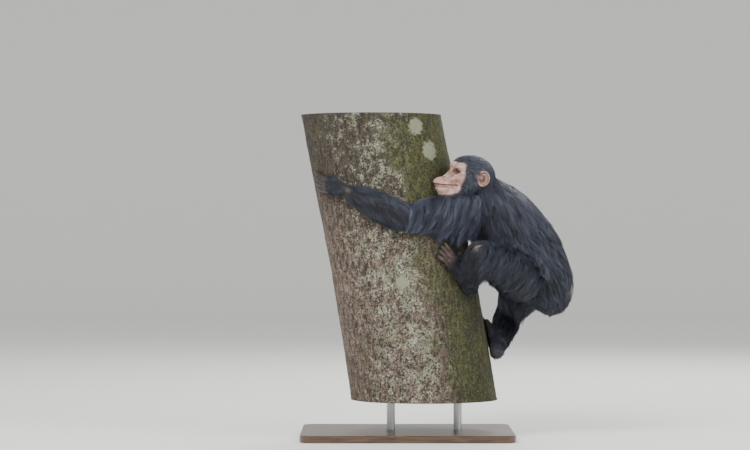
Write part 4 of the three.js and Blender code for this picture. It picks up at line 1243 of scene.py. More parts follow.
# Share of painted blue-grey sheen that each part's hair has at the least; on the crown it also stands for
# greyer hair.
SHEEN_BASE = {"head": 0.38, "torso": 0.02, "neck": 0.1, "upper_arm_left": 0.12}
# How strongly the painted sheen of each part's shining locks stands out, strongest on the near upper arm.
SHEEN_GAIN = {"head": 0.7, "torso": 0.75, "neck": 0.9, "upper_arm_left": 1.15, "forearm_left": 0.45,
             "thigh_left": 0.6, "shin_left": 0.35, "hand_left": 0.4, "foot_left": 0.3}
# How deep roots sit in the skin.
ROOT_SINK = 1.5
# Size of a tuft's patch on the bake map, as a share of the map.
UV_PATCH = 0.003
# How far hair may hang clear of the skin, and how much more under the near arm.
HANG_MOST = 9
ARMPIT = vec(256, -125, 755)
ARMPIT_REACH = 70
ARMPIT_HANG = 74
# How far hair stays from the bark.
BARK_ROOM = 2.0


def guide_grid():
    """The coarse grid that guides the skin's net and the hair, made once."""
    if not GUIDES:
        GUIDES.update(fill_guides())
    return GUIDES


def sample_guides(p):
    """Distance from the skin and lie of the coat, read between the corners of the coarse grid."""
    grid = guide_grid()
    at = (p - grid["low"]) / grid["step"]
    most = np.array(grid["fields"].shape[:3]) - 2
    cell = np.clip(at.astype(int), 0, most)
    w = np.clip(at - cell, 0, 1)
    total = 0
    for i, j, k in CELL_CORNERS:
        share = np.abs(1 - i - w[:, 0]) * np.abs(1 - j - w[:, 1]) * np.abs(1 - k - w[:, 2])
        total = total + grid["fields"][cell[:, 0] + i, cell[:, 1] + j, cell[:, 2] + k] * share[:, None]
    return total[:, 0], total[:, 1:]


def grow(roots, normals, points, length, lift, droop, along, swerve):
    """Lines of hair from roots: they leave the skin, turn into the coat's lie and hang where it ends."""
    path = np.zeros((len(roots), points, 3))
    path[:, 0] = roots - normals * ROOT_SINK
    most = HANG_MOST + ARMPIT_HANG * bell(np.linalg.norm(roots - ARMPIT, axis=1), 0, ARMPIT_REACH)
    p = roots.copy()
    for j in range(1, points):
        s = j / (points - 1)
        _, flow = sample_guides(p)
        rise = slope(sample_guides, p, 3.0)
        heading = flow * along + droop * (0.5 + s) * DOWN
        outwards = (heading * rise).sum(1)
        free = smoothstep(-rise[:, 2], 0.1, 0.9) * min(droop, 0.8) * 0.6
        heading = heading - rise * np.where(outwards > 0, outwards * (1 - free), outwards)[:, None]
        heading = unit(unit(heading) + swerve)
        p = p + heading * (length / (points - 1))[:, None]
        off, _ = sample_guides(p)
        goal = lift * (1 - (1 - s) ** (2.6 + 2.4 * smoothstep(normals[:, 2], 0, 0.8)))
        hang = np.clip(off - goal, 0, most * s) * (free > 0.02)
        p = p + rise * (goal + hang - off)[:, None]
        room, out = bark_distance(p)
        p = p + out * np.clip(BARK_ROOM - room, 0, None)[:, None]
        path[:, j] = p
    return path


class Ground:
    """The skin's faces and marks, measured once for all the coat's pieces."""

    def __init__(self, mesh):
        self.points = mesh_points(mesh)
        self.owner = skin_distance(self.points)[1]
        self.face, self.hand, self.worn = skin_marks(self.points, self.owner)
        self.room = bark_distance(self.points)[0]
        mesh.calc_loop_triangles()
        triangles = np.zeros(len(mesh.loop_triangles) * 3, np.int32)
        mesh.loop_triangles.foreach_get("vertices", triangles)
        self.triangles = triangles.reshape(-1, 3)
        self.corners = self.points[self.triangles]
        a, b, c = np.moveaxis(self.corners, 1, 0)
        self.cross = np.cross(b - a, c - a)

    def density(self, name):
        """Share of the full coat at the skin's points, for one owner."""
        full = (self.owner == PART_NUMBER[name]) * (1 - 0.9 * self.worn)
        if name.startswith(("hand", "foot")):
            full = full * grip_fur(self.points, name)
        else:
            full = full * (1 - self.face) * (1 - 0.35 * self.hand)
        return full * smoothstep(self.room, 3, 9)

    def spread(self, weights, count, random):
        """Random spots on the faces, in number by area and weight, with their normals."""
        size = np.linalg.norm(self.cross, axis=1) * weights[self.triangles].mean(1)
        edges = np.cumsum(size)
        picks = np.searchsorted(edges, (np.arange(count) + random.random(count)) / count * edges[-1])
        picks = np.minimum(picks, len(size) - 1)
        a, b = random.random((2, count, 1))
        flip = a + b > 1
        a, b = np.where(flip, 1 - a, a), np.where(flip, 1 - b, b)
        corners = self.corners[picks]
        spots = corners[:, 0] * (1 - a - b) + corners[:, 1] * a + corners[:, 2] * b
        return spots, unit(self.cross[picks])

    def area(self, weights):
        return (np.linalg.norm(self.cross, axis=1) * weights[self.triangles].mean(1)).sum() / 2


def grip_fur(p, name):
    """Fur on the back of a hand or foot, that ends before the digits."""
    grip = GRIPS[name]
    hand = "hand" in name
    start = grip_point(grip, 0, 0, 26)
    reach = np.linalg.norm(p - start, axis=1)
    end = 88 if hand else 134
    outer = smoothstep(bark_distance(p)[0], 9, 18)
    return (1 - smoothstep(reach, end - 22, end)) * outer


def gather_into_locks(path, roots, lock_paths, lock_roots, hold):
    """Draws each line of hair towards the line of its lock, more towards the tip."""
    tree = kdtree.KDTree(len(lock_roots))
    for i, spot in enumerate(lock_roots):
        tree.insert(spot, i)
    tree.balance()
    nearest = np.array([tree.find(spot)[1] for spot in roots])
    share = (np.linspace(0, 1, path.shape[1]) ** 1.1)[None, :, None] * hold[:, None, None]
    return lerp(path, lock_paths[nearest], share), nearest


def root_chart(owner_part, roots):
    """Place of each root on an unwrap of its part's own shape, from 0 to 1 each way."""
    _, share, angle = owner_part.measure(roots)
    return np.stack([0.02 + 0.96 * (angle / (2 * math.pi) + 0.5), 0.02 + 0.96 * share], 1)


def new_tree(name, settings):
    """An empty group of geometry nodes with its settings, and the sockets that give them."""
    tree = bpy.data.node_groups.new(name, "GeometryNodeTree")
    tree.interface.new_socket("Geometry", in_out="INPUT", socket_type="NodeSocketGeometry")
    for label, kind in settings.items():
        tree.interface.new_socket(label, in_out="INPUT", socket_type="NodeSocket" + kind)
    tree.interface.new_socket("Geometry", in_out="OUTPUT", socket_type="NodeSocketGeometry")
    return tree, add_node(tree, "NodeGroupInput").outputs


def tuft_tree():
    """Geometry nodes that turn guide lines into tapered solid tufts with a bake map."""
    name = "Tufts along guide lines"
    if name in bpy.data.node_groups:
        return bpy.data.node_groups[name]
    tree, given = new_tree(name, {
        "Thickness": "Float", "Sides": "Int", "Patch": "Float", "Material": "Material"})
    share = add_node(tree, "GeometryNodeInputNamedAttribute", {"Name": "thick"}, data_type="FLOAT")
    root = add_node(tree, "GeometryNodeInputNamedAttribute", {"Name": "root"}, data_type="FLOAT_VECTOR")
    lines = add_node(tree, "GeometryNodeMeshToCurve", {"Mesh": given["Geometry"]})
    along = add_node(tree, "GeometryNodeSplineParameter").outputs["Factor"]
    marked = add_node(tree, "GeometryNodeStoreNamedAttribute", {
        "Geometry": lines.outputs[0], "Name": "along", "Value": along}, data_type="FLOAT", domain="POINT")
    circle = add_node(tree, "GeometryNodeCurvePrimitiveCircle", {"Resolution": given["Sides"], "Radius": 1.0})
    around = add_node(tree, "GeometryNodeSplineParameter").outputs["Factor"]
    profile = add_node(tree, "GeometryNodeStoreNamedAttribute", {
        "Geometry": circle.outputs[0], "Name": "around", "Value": around}, data_type="FLOAT", domain="POINT")
    scale = add_node(tree, "ShaderNodeMath", {
        0: share.outputs[0], 1: given["Thickness"]}, operation="MULTIPLY")
    tube = add_node(tree, "GeometryNodeCurveToMesh", {
        "Curve": marked.outputs[0], "Profile Curve": profile.outputs[0],
        "Scale": scale.outputs[0], "Fill Caps": True})
    along_here = add_node(tree, "GeometryNodeInputNamedAttribute", {"Name": "along"}, data_type="FLOAT")
    around_here = add_node(tree, "GeometryNodeInputNamedAttribute", {"Name": "around"}, data_type="FLOAT")
    local = add_node(tree, "ShaderNodeCombineXYZ", {"X": along_here.outputs[0], "Y": around_here.outputs[0]})
    patch = add_node(tree, "ShaderNodeVectorMath", {
        0: local.outputs[0], 3: given["Patch"]}, operation="SCALE")
    placed = add_node(tree, "ShaderNodeVectorMath", {
        0: root.outputs[0], 1: patch.outputs[0]}, operation="ADD")
    mapped = add_node(tree, "GeometryNodeStoreNamedAttribute", {
        "Geometry": tube.outputs[0], "Name": "OFBake", "Value": placed.outputs[0]},
        data_type="FLOAT2", domain="CORNER")
    smooth = add_node(tree, "GeometryNodeSetShadeSmooth", {"Geometry": mapped.outputs[0]})
    real = add_node(tree, "GeometryNodeRealizeInstances", {"Geometry": smooth.outputs[0]})
    coated = add_node(tree, "GeometryNodeSetMaterial", {
        "Geometry": real.outputs[0], "Material": given["Material"]})
    add_node(tree, "NodeGroupOutput", {"Geometry": coated.outputs[0]})
    return tree


def apply_nodes(piece, tree, values):
    """Runs a node tree on an object with its named inputs, and keeps the result as a plain mesh."""
    modifier = piece.modifiers.new("nodes", "NODES")
    modifier.node_group = tree
    for item in tree.interface.items_tree:
        if item.item_type == "SOCKET" and item.in_out == "INPUT" and item.name in values:
            modifier[item.identifier] = values[item.name]
    graph = bpy.context.evaluated_depsgraph_get()
    result = bpy.data.meshes.new_from_object(
        piece.evaluated_get(graph), preserve_all_data_layers=True, depsgraph=graph)
    piece.modifiers.remove(modifier)
    old = piece.data
    piece.data = result
    name = old.name
    bpy.data.meshes.remove(old)
    result.name = name


def make_tufts(name, path, thick, chart, attributes, looks, material):
    """A coat piece: solid tufts along lines of hair."""
    count, steps = path.shape[:2]
    mesh = bpy.data.meshes.new(name)
    mesh.vertices.add(count * steps)
    mesh.vertices.foreach_set("co", (path * MM).astype(np.float32).ravel())
    number = np.arange(count * steps).reshape(count, steps)
    edges = np.stack([number[:, :-1], number[:, 1:]], -1).reshape(-1, 2)
    mesh.edges.add(len(edges))
    mesh.edges.foreach_set("vertices", edges.astype(np.int32).ravel())
    s = np.linspace(0, 1, steps)
    taper = np.interp(s, (0, 0.3, 0.7, 1), (0.75, 1.0, 0.72, 0.1))
    store(mesh, "thick", (thick[:, None] * taper).ravel())
    for label, values in attributes.items():
        store(mesh, label, values.ravel())
    root = mesh.attributes.new("root", "FLOAT_VECTOR", "POINT")
    spots = np.concatenate([np.repeat(chart, steps, 0), np.zeros((count * steps, 1))], 1)
    root.data.foreach_set("vector", spots.astype(np.float32).ravel())
    piece = new_object(name, mesh)
    apply_nodes(piece, tuft_tree(), {
        "Thickness": looks.hair_thick, "Sides": 3, "Patch": UV_PATCH, "Material": material})
    for label in ("thick", "root", "along", "around"):
        if label in piece.data.attributes:
            piece.data.attributes.remove(piece.data.attributes[label])
    return piece


def coat_piece(entry, ground, number, looks, material):
    """One entry of COATS: lines of hair, gathered into locks, with the tone of each, which is painted sheen
    on the lighter locks and painted shade towards the roots.
    """
    name, owner_name, start, end, tufts, points, length, depth, droop, along, lock = entry
    random = np.random.default_rng(looks.seed + number)
    part = PARTS[PART_NUMBER[owner_name]]
    weights = ground.density(owner_name)
    if (start, end) != (0, 1):
        mine = weights > 0
        share = part.measure(ground.points[mine])[1]
        weights[mine] *= (share >= start) & (share < end)
    count = int(tufts * looks.fullness)
    roots, normals = ground.spread(weights, count, random)
    lock_count = max(40, int(ground.area(weights) / lock**2))
    lock_roots, lock_normals = ground.spread(weights, lock_count, random)
    reach = hair_reach(owner_name, roots)
    lock_reach = hair_reach(owner_name, lock_roots)
    lift = depth * reach**0.7 * random.uniform(0.3, 1.0, count)
    lines = grow(roots, normals, points, length * reach * random.uniform(0.6, 1.05, count), lift,
                 droop, along, unit(random.normal(size=(count, 3))) * 0.22)
    stray = random.random(lock_count) ** 3
    lock_lines = grow(lock_roots, lock_normals, points,
                      length * lock_reach * random.uniform(0.8, 1.2, lock_count),
                      depth * lock_reach**0.7 * (random.uniform(0.45, 1.0, lock_count) + 0.3 * stray),
                      droop, along, unit(random.normal(size=(lock_count, 3))) * 0.3)
    hold = random.uniform(0.45, 0.95, count)
    lines, nearest = gather_into_locks(lines, roots, lock_lines, lock_roots, hold)
    # Which locks carry the painted sheen, at random.
    light = random.random(lock_count) ** 1.5
    base, gain = SHEEN_BASE.get(owner_name, 0), SHEEN_GAIN.get(owner_name, 0.5)
    tone = np.clip(base + gain * (light[nearest] * 0.8 + random.random(count) * 0.25), 0, 1)
    # Painted shade along each tuft: the tone is darkest at the root and lightest past the middle.
    rise = np.interp(np.linspace(0, 1, points), (0, 0.35, 0.8, 1), (0.05, 0.7, 1.0, 0.85))
    attributes = {
        "tone": tone[:, None] * rise,
        "pale": np.repeat(hair_paleness(owner_name, roots)[:, None], points, 1),
    }
    thick = random.uniform(0.7, 1.25, count) * np.interp(reach, (0.2, 1), (0.5, 1))
    thick *= 0.78 if owner_name in ("head", "hand_left", "hand_right", "foot_left", "foot_right") else 1
    kept = clear_of_ears(lines) if owner_name in ("head", "neck", "torso") else np.ones(count, bool)
    attributes = {label: values[kept] for label, values in attributes.items()}
    chart = root_chart(part, roots[kept])
    piece = make_tufts(name, lines[kept], thick[kept], chart, attributes, looks, material)
    dress(piece, "black_coat")


def clear_of_ears(lines):
    """Lines of hair that don't pass through an ear."""
    spots = lines[:, 1:].reshape(-1, 3)
    ears = np.minimum(*(PARTS[PART_NUMBER[name]].measure(spots)[0] for name in ("ear_left", "ear_right")))
    return ears.reshape(len(lines), -1).min(1) > 0.8


def hair_reach(name, p):
    """Share of the coat's full length at roots: shorter towards the face, hands, feet and rump."""
    if name == "head":
        f, _, u = in_head(p)
        chin = smoothstep(f, 30, 60) * smoothstep(-u, 55, 75)
        return (0.3 + 0.7 * smoothstep(-f, -55, 15)) * (1 - 0.5 * chin)
    share = PARTS[PART_NUMBER[name]].measure(p)[1]
    if name.startswith(("forearm", "shin")):
        return 1 - 0.45 * smoothstep(share, 0.65, 1)
    if name.startswith(("hand", "foot")):
        return 1 - 0.45 * smoothstep(share, 0.4, 0.9)
    if name == "torso":
        chest = bell(np.linalg.norm((p - vec(262, -70, 735)) / vec(60, 90, 60), axis=1), 0, 1)
        return 1 - 0.7 * smoothstep(share, 0.74, 0.96) + 1.1 * chest
    return np.ones(len(p))


def hair_paleness(name, p):
    """Share of white hair: a tuft at the rump and a thin fringe under the chin."""
    if name == "torso":
        rump = bell(np.linalg.norm((p - vec(590, -40, 552)) / vec(26, 50, 20), axis=1), 0, 0.8)
        return np.clip(rump * 1.1, 0, 0.95)
    if name == "head":
        f, _, u = in_head(p)
        return 0.4 * smoothstep(-u, 62, 84) * smoothstep(f, 30, 60)
    return np.zeros(len(p))


# Eyes and nails.

# Faces round each eye and along it, how far it sits inside its socket, and how far the cornea
# rises and spreads. Past the last ring of the iris the colour stays the same.
EYE_TURNS = 40
EYE_RINGS = 26
EYE_FIT = 0.15
CORNEA_RISE = 0.66
CORNEA_SPREAD = 0.42
RING_MOST = 1.2


def build_eyes(looks):
    """Each eye is a ball of rings round its line of sight, raised a little at the cornea."""
    material = glass_eye(looks)
    for side, name in ((1, "left"), (-1, "right")):
        points, ring_at, turn_at = [], [], []
        for i in range(EYE_RINGS + 1):
            tilt = math.pi * i / EYE_RINGS
            r = EYE_RADIUS - EYE_FIT + CORNEA_RISE * math.exp(-((tilt / CORNEA_SPREAD) ** 2))
            ahead, aside = r * math.cos(tilt), r * math.sin(tilt)
            for j in range(EYE_TURNS):
                turn = 2 * math.pi * j / EYE_TURNS
                points.append(head_point(
                    EYE_AT[0] + ahead, side * EYE_AT[1] + aside * math.cos(turn),
                    EYE_AT[2] + aside * math.sin(turn)))
                ring_at.append(min(tilt, RING_MOST))
                turn_at.append(j / EYE_TURNS)
        faces = grid_faces(EYE_RINGS, EYE_TURNS)
        mesh = new_mesh("glass_eye_" + name, np.array(points), faces[:, ::-1])
        store(mesh, "ring", ring_at)
        store(mesh, "turn", turn_at)
        close_poles(mesh)
        piece = new_object("glass_eye_" + name, mesh, material)
        dress(piece, "eye", "eye_" + name)


def close_poles(mesh):
    work = bmesh.new()
    work.from_mesh(mesh)
    bmesh.ops.remove_doubles(work, verts=work.verts, dist=1e-6)
    bmesh.ops.recalc_face_normals(work, faces=work.faces)
    work.to_mesh(mesh)
    work.free()


NAIL_SHARE = 0.86
NAIL_ROWS = 7
NAIL_TURNS = 7
NAIL_SPAN = math.radians(62)
NAIL_THICK = 0.5
NAIL_SINK = -0.6
NAIL_LENGTH = 11
BIG_NAIL_LENGTH = 15


def nail_shell(form, length):
    """A curved nail plate on the outer side of a digit's tip, with its thickness."""
    at = np.array([np.interp(NAIL_SHARE, form.t, form.at[:, k]) for k in range(3)])
    along = unit(form.at[-1] - form.at[-3])
    out = unit(bark_distance(at[None])[1][0])
    out = unit(out - along * (out @ along))
    across = np.cross(along, out)
    radius = np.interp(NAIL_SHARE, form.t, form.wide)
    outer, inner = [], []
    for i in range(NAIL_ROWS):
        v = i / (NAIL_ROWS - 1)
        for j in range(NAIL_TURNS):
            w = j / (NAIL_TURNS - 1) * 2 - 1
            span = NAIL_SPAN * (1 - 0.18 * max(v - 0.6, 0))
            turn = w * span
            round_end = 0.16 * length * w * w
            reach = (v - 0.45) * length - round_end * (1 if v > 0.5 else -0.6) * abs(v - 0.5) * 2
            rise = radius * 0.94 - 0.5 * (v - 0.3) ** 2 * 3
            for shell, off in ((outer, NAIL_THICK), (inner, NAIL_SINK)):
                r = rise + off * (0.6 + 0.4 * (1 - w * w))
                shell.append(at + along * reach + (out * math.cos(turn) + across * math.sin(turn)) * r)
    count = NAIL_ROWS * NAIL_TURNS
    points = np.array(outer + inner)
    faces = []
    for i in range(NAIL_ROWS - 1):
        for j in range(NAIL_TURNS - 1):
            a = i * NAIL_TURNS + j
            faces.append((a, a + NAIL_TURNS, a + NAIL_TURNS + 1, a + 1))
            faces.append((a + count, a + count + 1, a + count + NAIL_TURNS + 1, a + count + NAIL_TURNS))
    border = ([j for j in range(NAIL_TURNS)] + [i * NAIL_TURNS + NAIL_TURNS - 1 for i in range(1, NAIL_ROWS)]
              + [(NAIL_ROWS - 1) * NAIL_TURNS + j for j in range(NAIL_TURNS - 2, -1, -1)]
              + [i * NAIL_TURNS for i in range(NAIL_ROWS - 2, 0, -1)])
    for a, b in zip(border, border[1:] + border[:1]):
        faces.append((a, b, b + count, a + count))
    return points, faces


def build_nails(looks):
    material = dark_nail(looks)
    for name, grip in GRIPS.items():
        _, digits = hand_forms(grip) if "hand" in name else foot_forms(grip)
        points, faces = [], []
        for i, digit in enumerate(digits):
            big = "foot" in name and i == 4
            spots, sides = nail_shell(digit, BIG_NAIL_LENGTH if big else NAIL_LENGTH)
            faces += [tuple(k + len(points) for k in side) for side in sides]
            points += list(spots)
        mesh = new_mesh("nails_" + name, np.array(points), np.array(faces))
        close_poles(mesh)
        mesh.polygons.foreach_set("use_smooth", np.ones(len(mesh.polygons), bool))
        piece = new_object("nails_" + name, mesh, material)
        dress(piece, "dark_skin")


# Trunk.
BARK_TURNS = 320
BARK_RINGS = 200
LICHEN_DISCS = (
    # angle round the trunk in degrees, height, radius
    (45, 1026, 37), (36, 1112, 33), (-2, 560, 24), (120, 900, 24), (200, 700, 30),
    (250, 980, 24), (160, 430, 26),
)


def bark_tree():
    """Geometry nodes that raise the bark's plates, ridges, pits and crusts."""
    tree, given = new_tree("Bark relief", {
        "Relief": "Float", "Plate": "Float", "Seed": "Float", "Material": "Material"})
    place = add_node(tree, "GeometryNodeInputPosition").outputs[0]
    tall = add_node(tree, "ShaderNodeVectorMath", {0: place, 1: (1.0, 1.0, 0.4)}, operation="MULTIPLY")
    scale = add_node(tree, "ShaderNodeMath", {0: 1.0, 1: given["Plate"]}, operation="DIVIDE")
    plates = add_node(tree, "ShaderNodeTexNoise", {
        "Vector": tall.outputs[0], "W": given["Seed"], "Scale": scale.outputs[0], "Detail": 5.0,
        "Roughness": 0.6}, noise_dimensions="4D")
    fine_scale = add_node(tree, "ShaderNodeMath", {0: scale.outputs[0], 1: 5.5}, operation="MULTIPLY")
    crusts = add_node(tree, "ShaderNodeTexNoise", {
        "Vector": place, "W": given["Seed"], "Scale": fine_scale.outputs[0], "Detail": 3.0},
        noise_dimensions="4D")
    both = add_node(tree, "ShaderNodeMath", {
        0: crusts.outputs["Fac"], 1: 0.45, 2: plates.outputs["Fac"]}, operation="MULTIPLY_ADD")
    level = add_node(tree, "ShaderNodeMath", {0: both.outputs[0], 1: 0.95}, operation="SUBTRACT")
    height = add_node(tree, "ShaderNodeMath", {0: level.outputs[0], 1: given["Relief"]}, operation="MULTIPLY")
    disc = add_node(tree, "GeometryNodeInputNamedAttribute", {"Name": "disc"}, data_type="FLOAT")
    side = add_node(tree, "GeometryNodeInputNamedAttribute", {"Name": "wall"}, data_type="FLOAT")
    raised = add_node(tree, "ShaderNodeMath", {
        0: disc.outputs[0], 1: 0.0012, 2: height.outputs[0]}, operation="MULTIPLY_ADD")
    held = add_node(tree, "ShaderNodeMath", {0: raised.outputs[0], 1: side.outputs[0]}, operation="MULTIPLY")
    normal = add_node(tree, "GeometryNodeInputNormal").outputs[0]
    offset = add_node(tree, "ShaderNodeVectorMath", {0: normal, 3: held.outputs[0]}, operation="SCALE")
    moved = add_node(tree, "GeometryNodeSetPosition", {
        "Geometry": given["Geometry"], "Offset": offset.outputs[0]})
    real = add_node(tree, "GeometryNodeRealizeInstances", {"Geometry": moved.outputs[0]})
    coated = add_node(tree, "GeometryNodeSetMaterial", {
        "Geometry": real.outputs[0], "Material": given["Material"]})
    add_node(tree, "NodeGroupOutput", {"Geometry": coated.outputs[0]})
    return tree


def trunk_points():
    """Rings of points up the bark."""
    z = np.linspace(TRUNK_FOOT, TRUNK_TOP, BARK_RINGS)
    turn = 2 * math.pi * np.arange(BARK_TURNS) / BARK_TURNS
    z, turn = np.meshgrid(z, turn, indexing="ij")
    r = trunk_radius(z) + bark_swell(turn, z)
    return np.stack([trunk_x(z) + r * np.cos(turn), r * np.sin(turn), z], -1).reshape(-1, 3)


def lichen_disc_mask(p):
    """1 on the round lichens, with ragged rims."""
    mask = np.zeros(len(p))
    waves = (0.12 * np.sin(p[:, 2] * 0.31 + p[:, 0] * 0.23)
             + 0.1 * np.sin(p[:, 2] * 0.53 - p[:, 1] * 0.47))
    for angle, height, radius in LICHEN_DISCS:
        at = on_trunk(math.radians(angle), height, 0)
        d = np.linalg.norm(p - at, axis=1)
        rim = radius * (1 + waves)
        mask = np.maximum(mask, 1 - smoothstep(d, 0.8 * rim, rim))
    return mask


def bark_zones(p):
    """Where the bark is pale, shaded or mossy, by the angle round the trunk and the rise up it."""
    angle = np.degrees(np.arctan2(p[:, 0] - trunk_x(p[:, 2]), -p[:, 1]))
    rise = (p[:, 2] - TRUNK_FOOT) / (TRUNK_TOP - TRUNK_FOOT)
    back = smoothstep(np.abs(angle), 110, 150)
    top = smoothstep(rise, 0.45, 0.9)
    # The right side, away from the main light, which takes painted shade and fewer pale crusts.
    dark = smoothstep(angle, 6, 44 + 30 * rise) * (1 - back)
    damp = smoothstep(angle, -15, 40) * (1 - back)
    pale = 0.05 * bell(angle, -10, 35) * (1 - 0.7 * top) - 0.01
    return {
        "side": pale - 0.09 * bell(angle, -76, 34) - 0.15 * dark,
        # Painted shade: heaviest on the right side away from the main light, lightest low on the lit left
        # side, and darker towards the top and round the back.
        "shade": np.clip(
            0.3 - 0.25 * bell(angle, -70, 28) * (1 - top) + 0.7 * dark + 0.45 * top + 0.3 * back, 0, 1),
        "moss": 0.03 + 0.36 * damp * (0.7 + 0.3 * top) + 0.12 * back,
    }


SAWN_EDGE = 10


def build_trunk(looks):
    points = trunk_points()
    mesh = new_mesh("bark_of_the_trunk", points, grid_faces(BARK_RINGS - 1, BARK_TURNS))
    close_ends(mesh)
    p = mesh_points(mesh)
    store(mesh, "disc", lichen_disc_mask(p))
    store(mesh, "wall", smoothstep(np.minimum(p[:, 2] - TRUNK_FOOT, TRUNK_TOP - p[:, 2]), 0, SAWN_EDGE))
    for name, values in bark_zones(p).items():
        store(mesh, name, values)
    store(mesh, "ring", np.hypot(p[:, 0] - trunk_x(p[:, 2]), p[:, 1]) / trunk_radius(p[:, 2]))
    piece = new_object("bark_of_the_trunk", mesh)
    bark = lichened_bark(looks)
    apply_nodes(piece, bark_tree(), {
        "Relief": looks.relief, "Plate": looks.plate, "Seed": float(looks.seed), "Material": bark})
    mesh = piece.data
    mesh.materials.append(sawn_end(looks))
    flat = np.array([abs(polygon.normal.z) > 0.9 for polygon in mesh.polygons])
    mesh.polygons.foreach_set("material_index", flat.astype(np.int32))
    mesh.polygons.foreach_set("use_smooth", ~flat)
    dress(piece, "bark", "perch_trunk")


# Shares of the way out to the bark where the sawn ends have a ring of points, from the rim inwards.
END_RINGS = (1, 0.97, 0.8, 0.5, 0.2)


def close_ends(mesh):
    """Closes the trunk's two ends with rings of faces."""
    work = bmesh.new()
    work.from_mesh(mesh)
    for rim in list(open_rims(work)):
        centre = sum((v.co for v in rim), Vector()) / len(rim)
        for wider, share in zip(END_RINGS, END_RINGS[1:]):
            inner = [work.verts.new(centre.lerp(v.co, share / wider)) for v in rim]
            for i, v in enumerate(rim):
                j = (i + 1) % len(rim)
                work.faces.new((v, rim[j], inner[j], inner[i]))
            rim = inner
        middle = work.verts.new(centre)
        for i, v in enumerate(rim):
            work.faces.new((v, rim[(i + 1) % len(rim)], middle))
    bmesh.ops.recalc_face_normals(work, faces=work.faces)
    work.to_mesh(mesh)
    work.free()


def open_rims(work):
    """The rings of points along open edges, each in order."""
    edges = {e for e in work.edges if e.is_boundary}
    while edges:
        edge = edges.pop()
        start, at = edge.verts
        rim = [start]
        while at is not start:
            rim.append(at)
            edge = next(e for e in at.link_edges if e in edges)
            edges.remove(edge)
            at = edge.other_vert(at)
        yield rim


# Stand and stage.

def build_stand(looks):
    board = varnished_board(looks)
    steel = brushed_steel(looks)
    for name, material in (("stand_base", board), ("stand_rod_left", steel), ("stand_rod_right", steel)):
        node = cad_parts[name]
        node.data.materials.clear()
        node.data.materials.append(material)


CAMERA_AT = (-115.2, -10000, 763.2)
CAMERA_LENS = 133.3
# The floor curves up into a wall all round, beyond the camera.
FLOOR_TURNS = 96
FLOOR_RADIUS = 17000
WALL_RISE = 9000


def build_stage(looks):
    scene = bpy.context.scene
    camera = bpy.data.objects.new("camera", bpy.data.cameras.new("camera"))
    scene.collection.objects.link(camera)
    camera.location = Vector(CAMERA_AT) * MM
    camera.rotation_euler = (math.radians(90), 0, 0)
    camera.data.lens = CAMERA_LENS
    camera.data.clip_end = 100
    scene.camera = camera

    material, tree, shader = new_material("matt_painted_floor")
    place = add_node(tree, "ShaderNodeTexCoord").outputs["Object"]
    speck = add_node(tree, "ShaderNodeTexNoise", {"Vector": place, "Scale": per_mm(60), "Detail": 4.0})
    rough = add_node(tree, "ShaderNodeMapRange", {0: speck.outputs["Fac"], 3: 0.7, 4: 0.85})
    tree.links.new(rough.outputs[0], shader.inputs["Roughness"])
    shader.inputs["Base Color"].default_value = list(looks.floor_colour)
    profile = [(0.01, 0), (FLOOR_RADIUS * 0.4, 0), (FLOOR_RADIUS * 0.8, 0)]
    for i in range(13):
        turn = math.pi / 2 * i / 12
        bend = FLOOR_RADIUS * 0.2
        profile.append((FLOOR_RADIUS * 0.8 + bend * math.sin(turn), bend * (1 - math.cos(turn))))
    profile.append((FLOOR_RADIUS, WALL_RISE))
    round_floor = 2 * math.pi * np.arange(FLOOR_TURNS) / FLOOR_TURNS
    points = [vec(r * math.cos(turn), r * math.sin(turn), z) for r, z in profile for turn in round_floor]
    faces = grid_faces(len(profile) - 1, FLOOR_TURNS)[:, [0, 3, 2, 1]]
    floor = new_object("pale_floor", new_mesh("pale_floor", np.array(points), faces), material)

    for name, at, size, power in (
        ("key_light", (-2.6, -4.2, 4.6), 2.6, looks.key_power),
        ("fill_light", (4.2, -3.4, 2.6), 3.0, looks.fill_power),
        ("back_light", (1.8, 4.4, 4.4), 3.0, looks.back_power),
    ):
        light = bpy.data.objects.new(name, bpy.data.lights.new(name, "AREA"))
        scene.collection.objects.link(light)
        light.location = at
        aim = Vector((0.1, 0, 0.7)) - light.location
        light.rotation_euler = aim.to_track_quat("-Z", "Y").to_euler()
        light.data.size = size
        light.data.energy = power
    world = bpy.data.worlds.new("soft_room")
    world.use_nodes = True
    world.node_tree.nodes["Background"].inputs["Color"].default_value = list(looks.room_colour)
    world.node_tree.nodes["Background"].inputs["Strength"].default_value = looks.room_light
    scene.world = world


# Settings that a user would change.

def colour(name, description, value):
    return bpy.props.FloatVectorProperty(
        name=name, description=description, subtype="COLOR", size=4, min=0, max=1, default=linear(value))


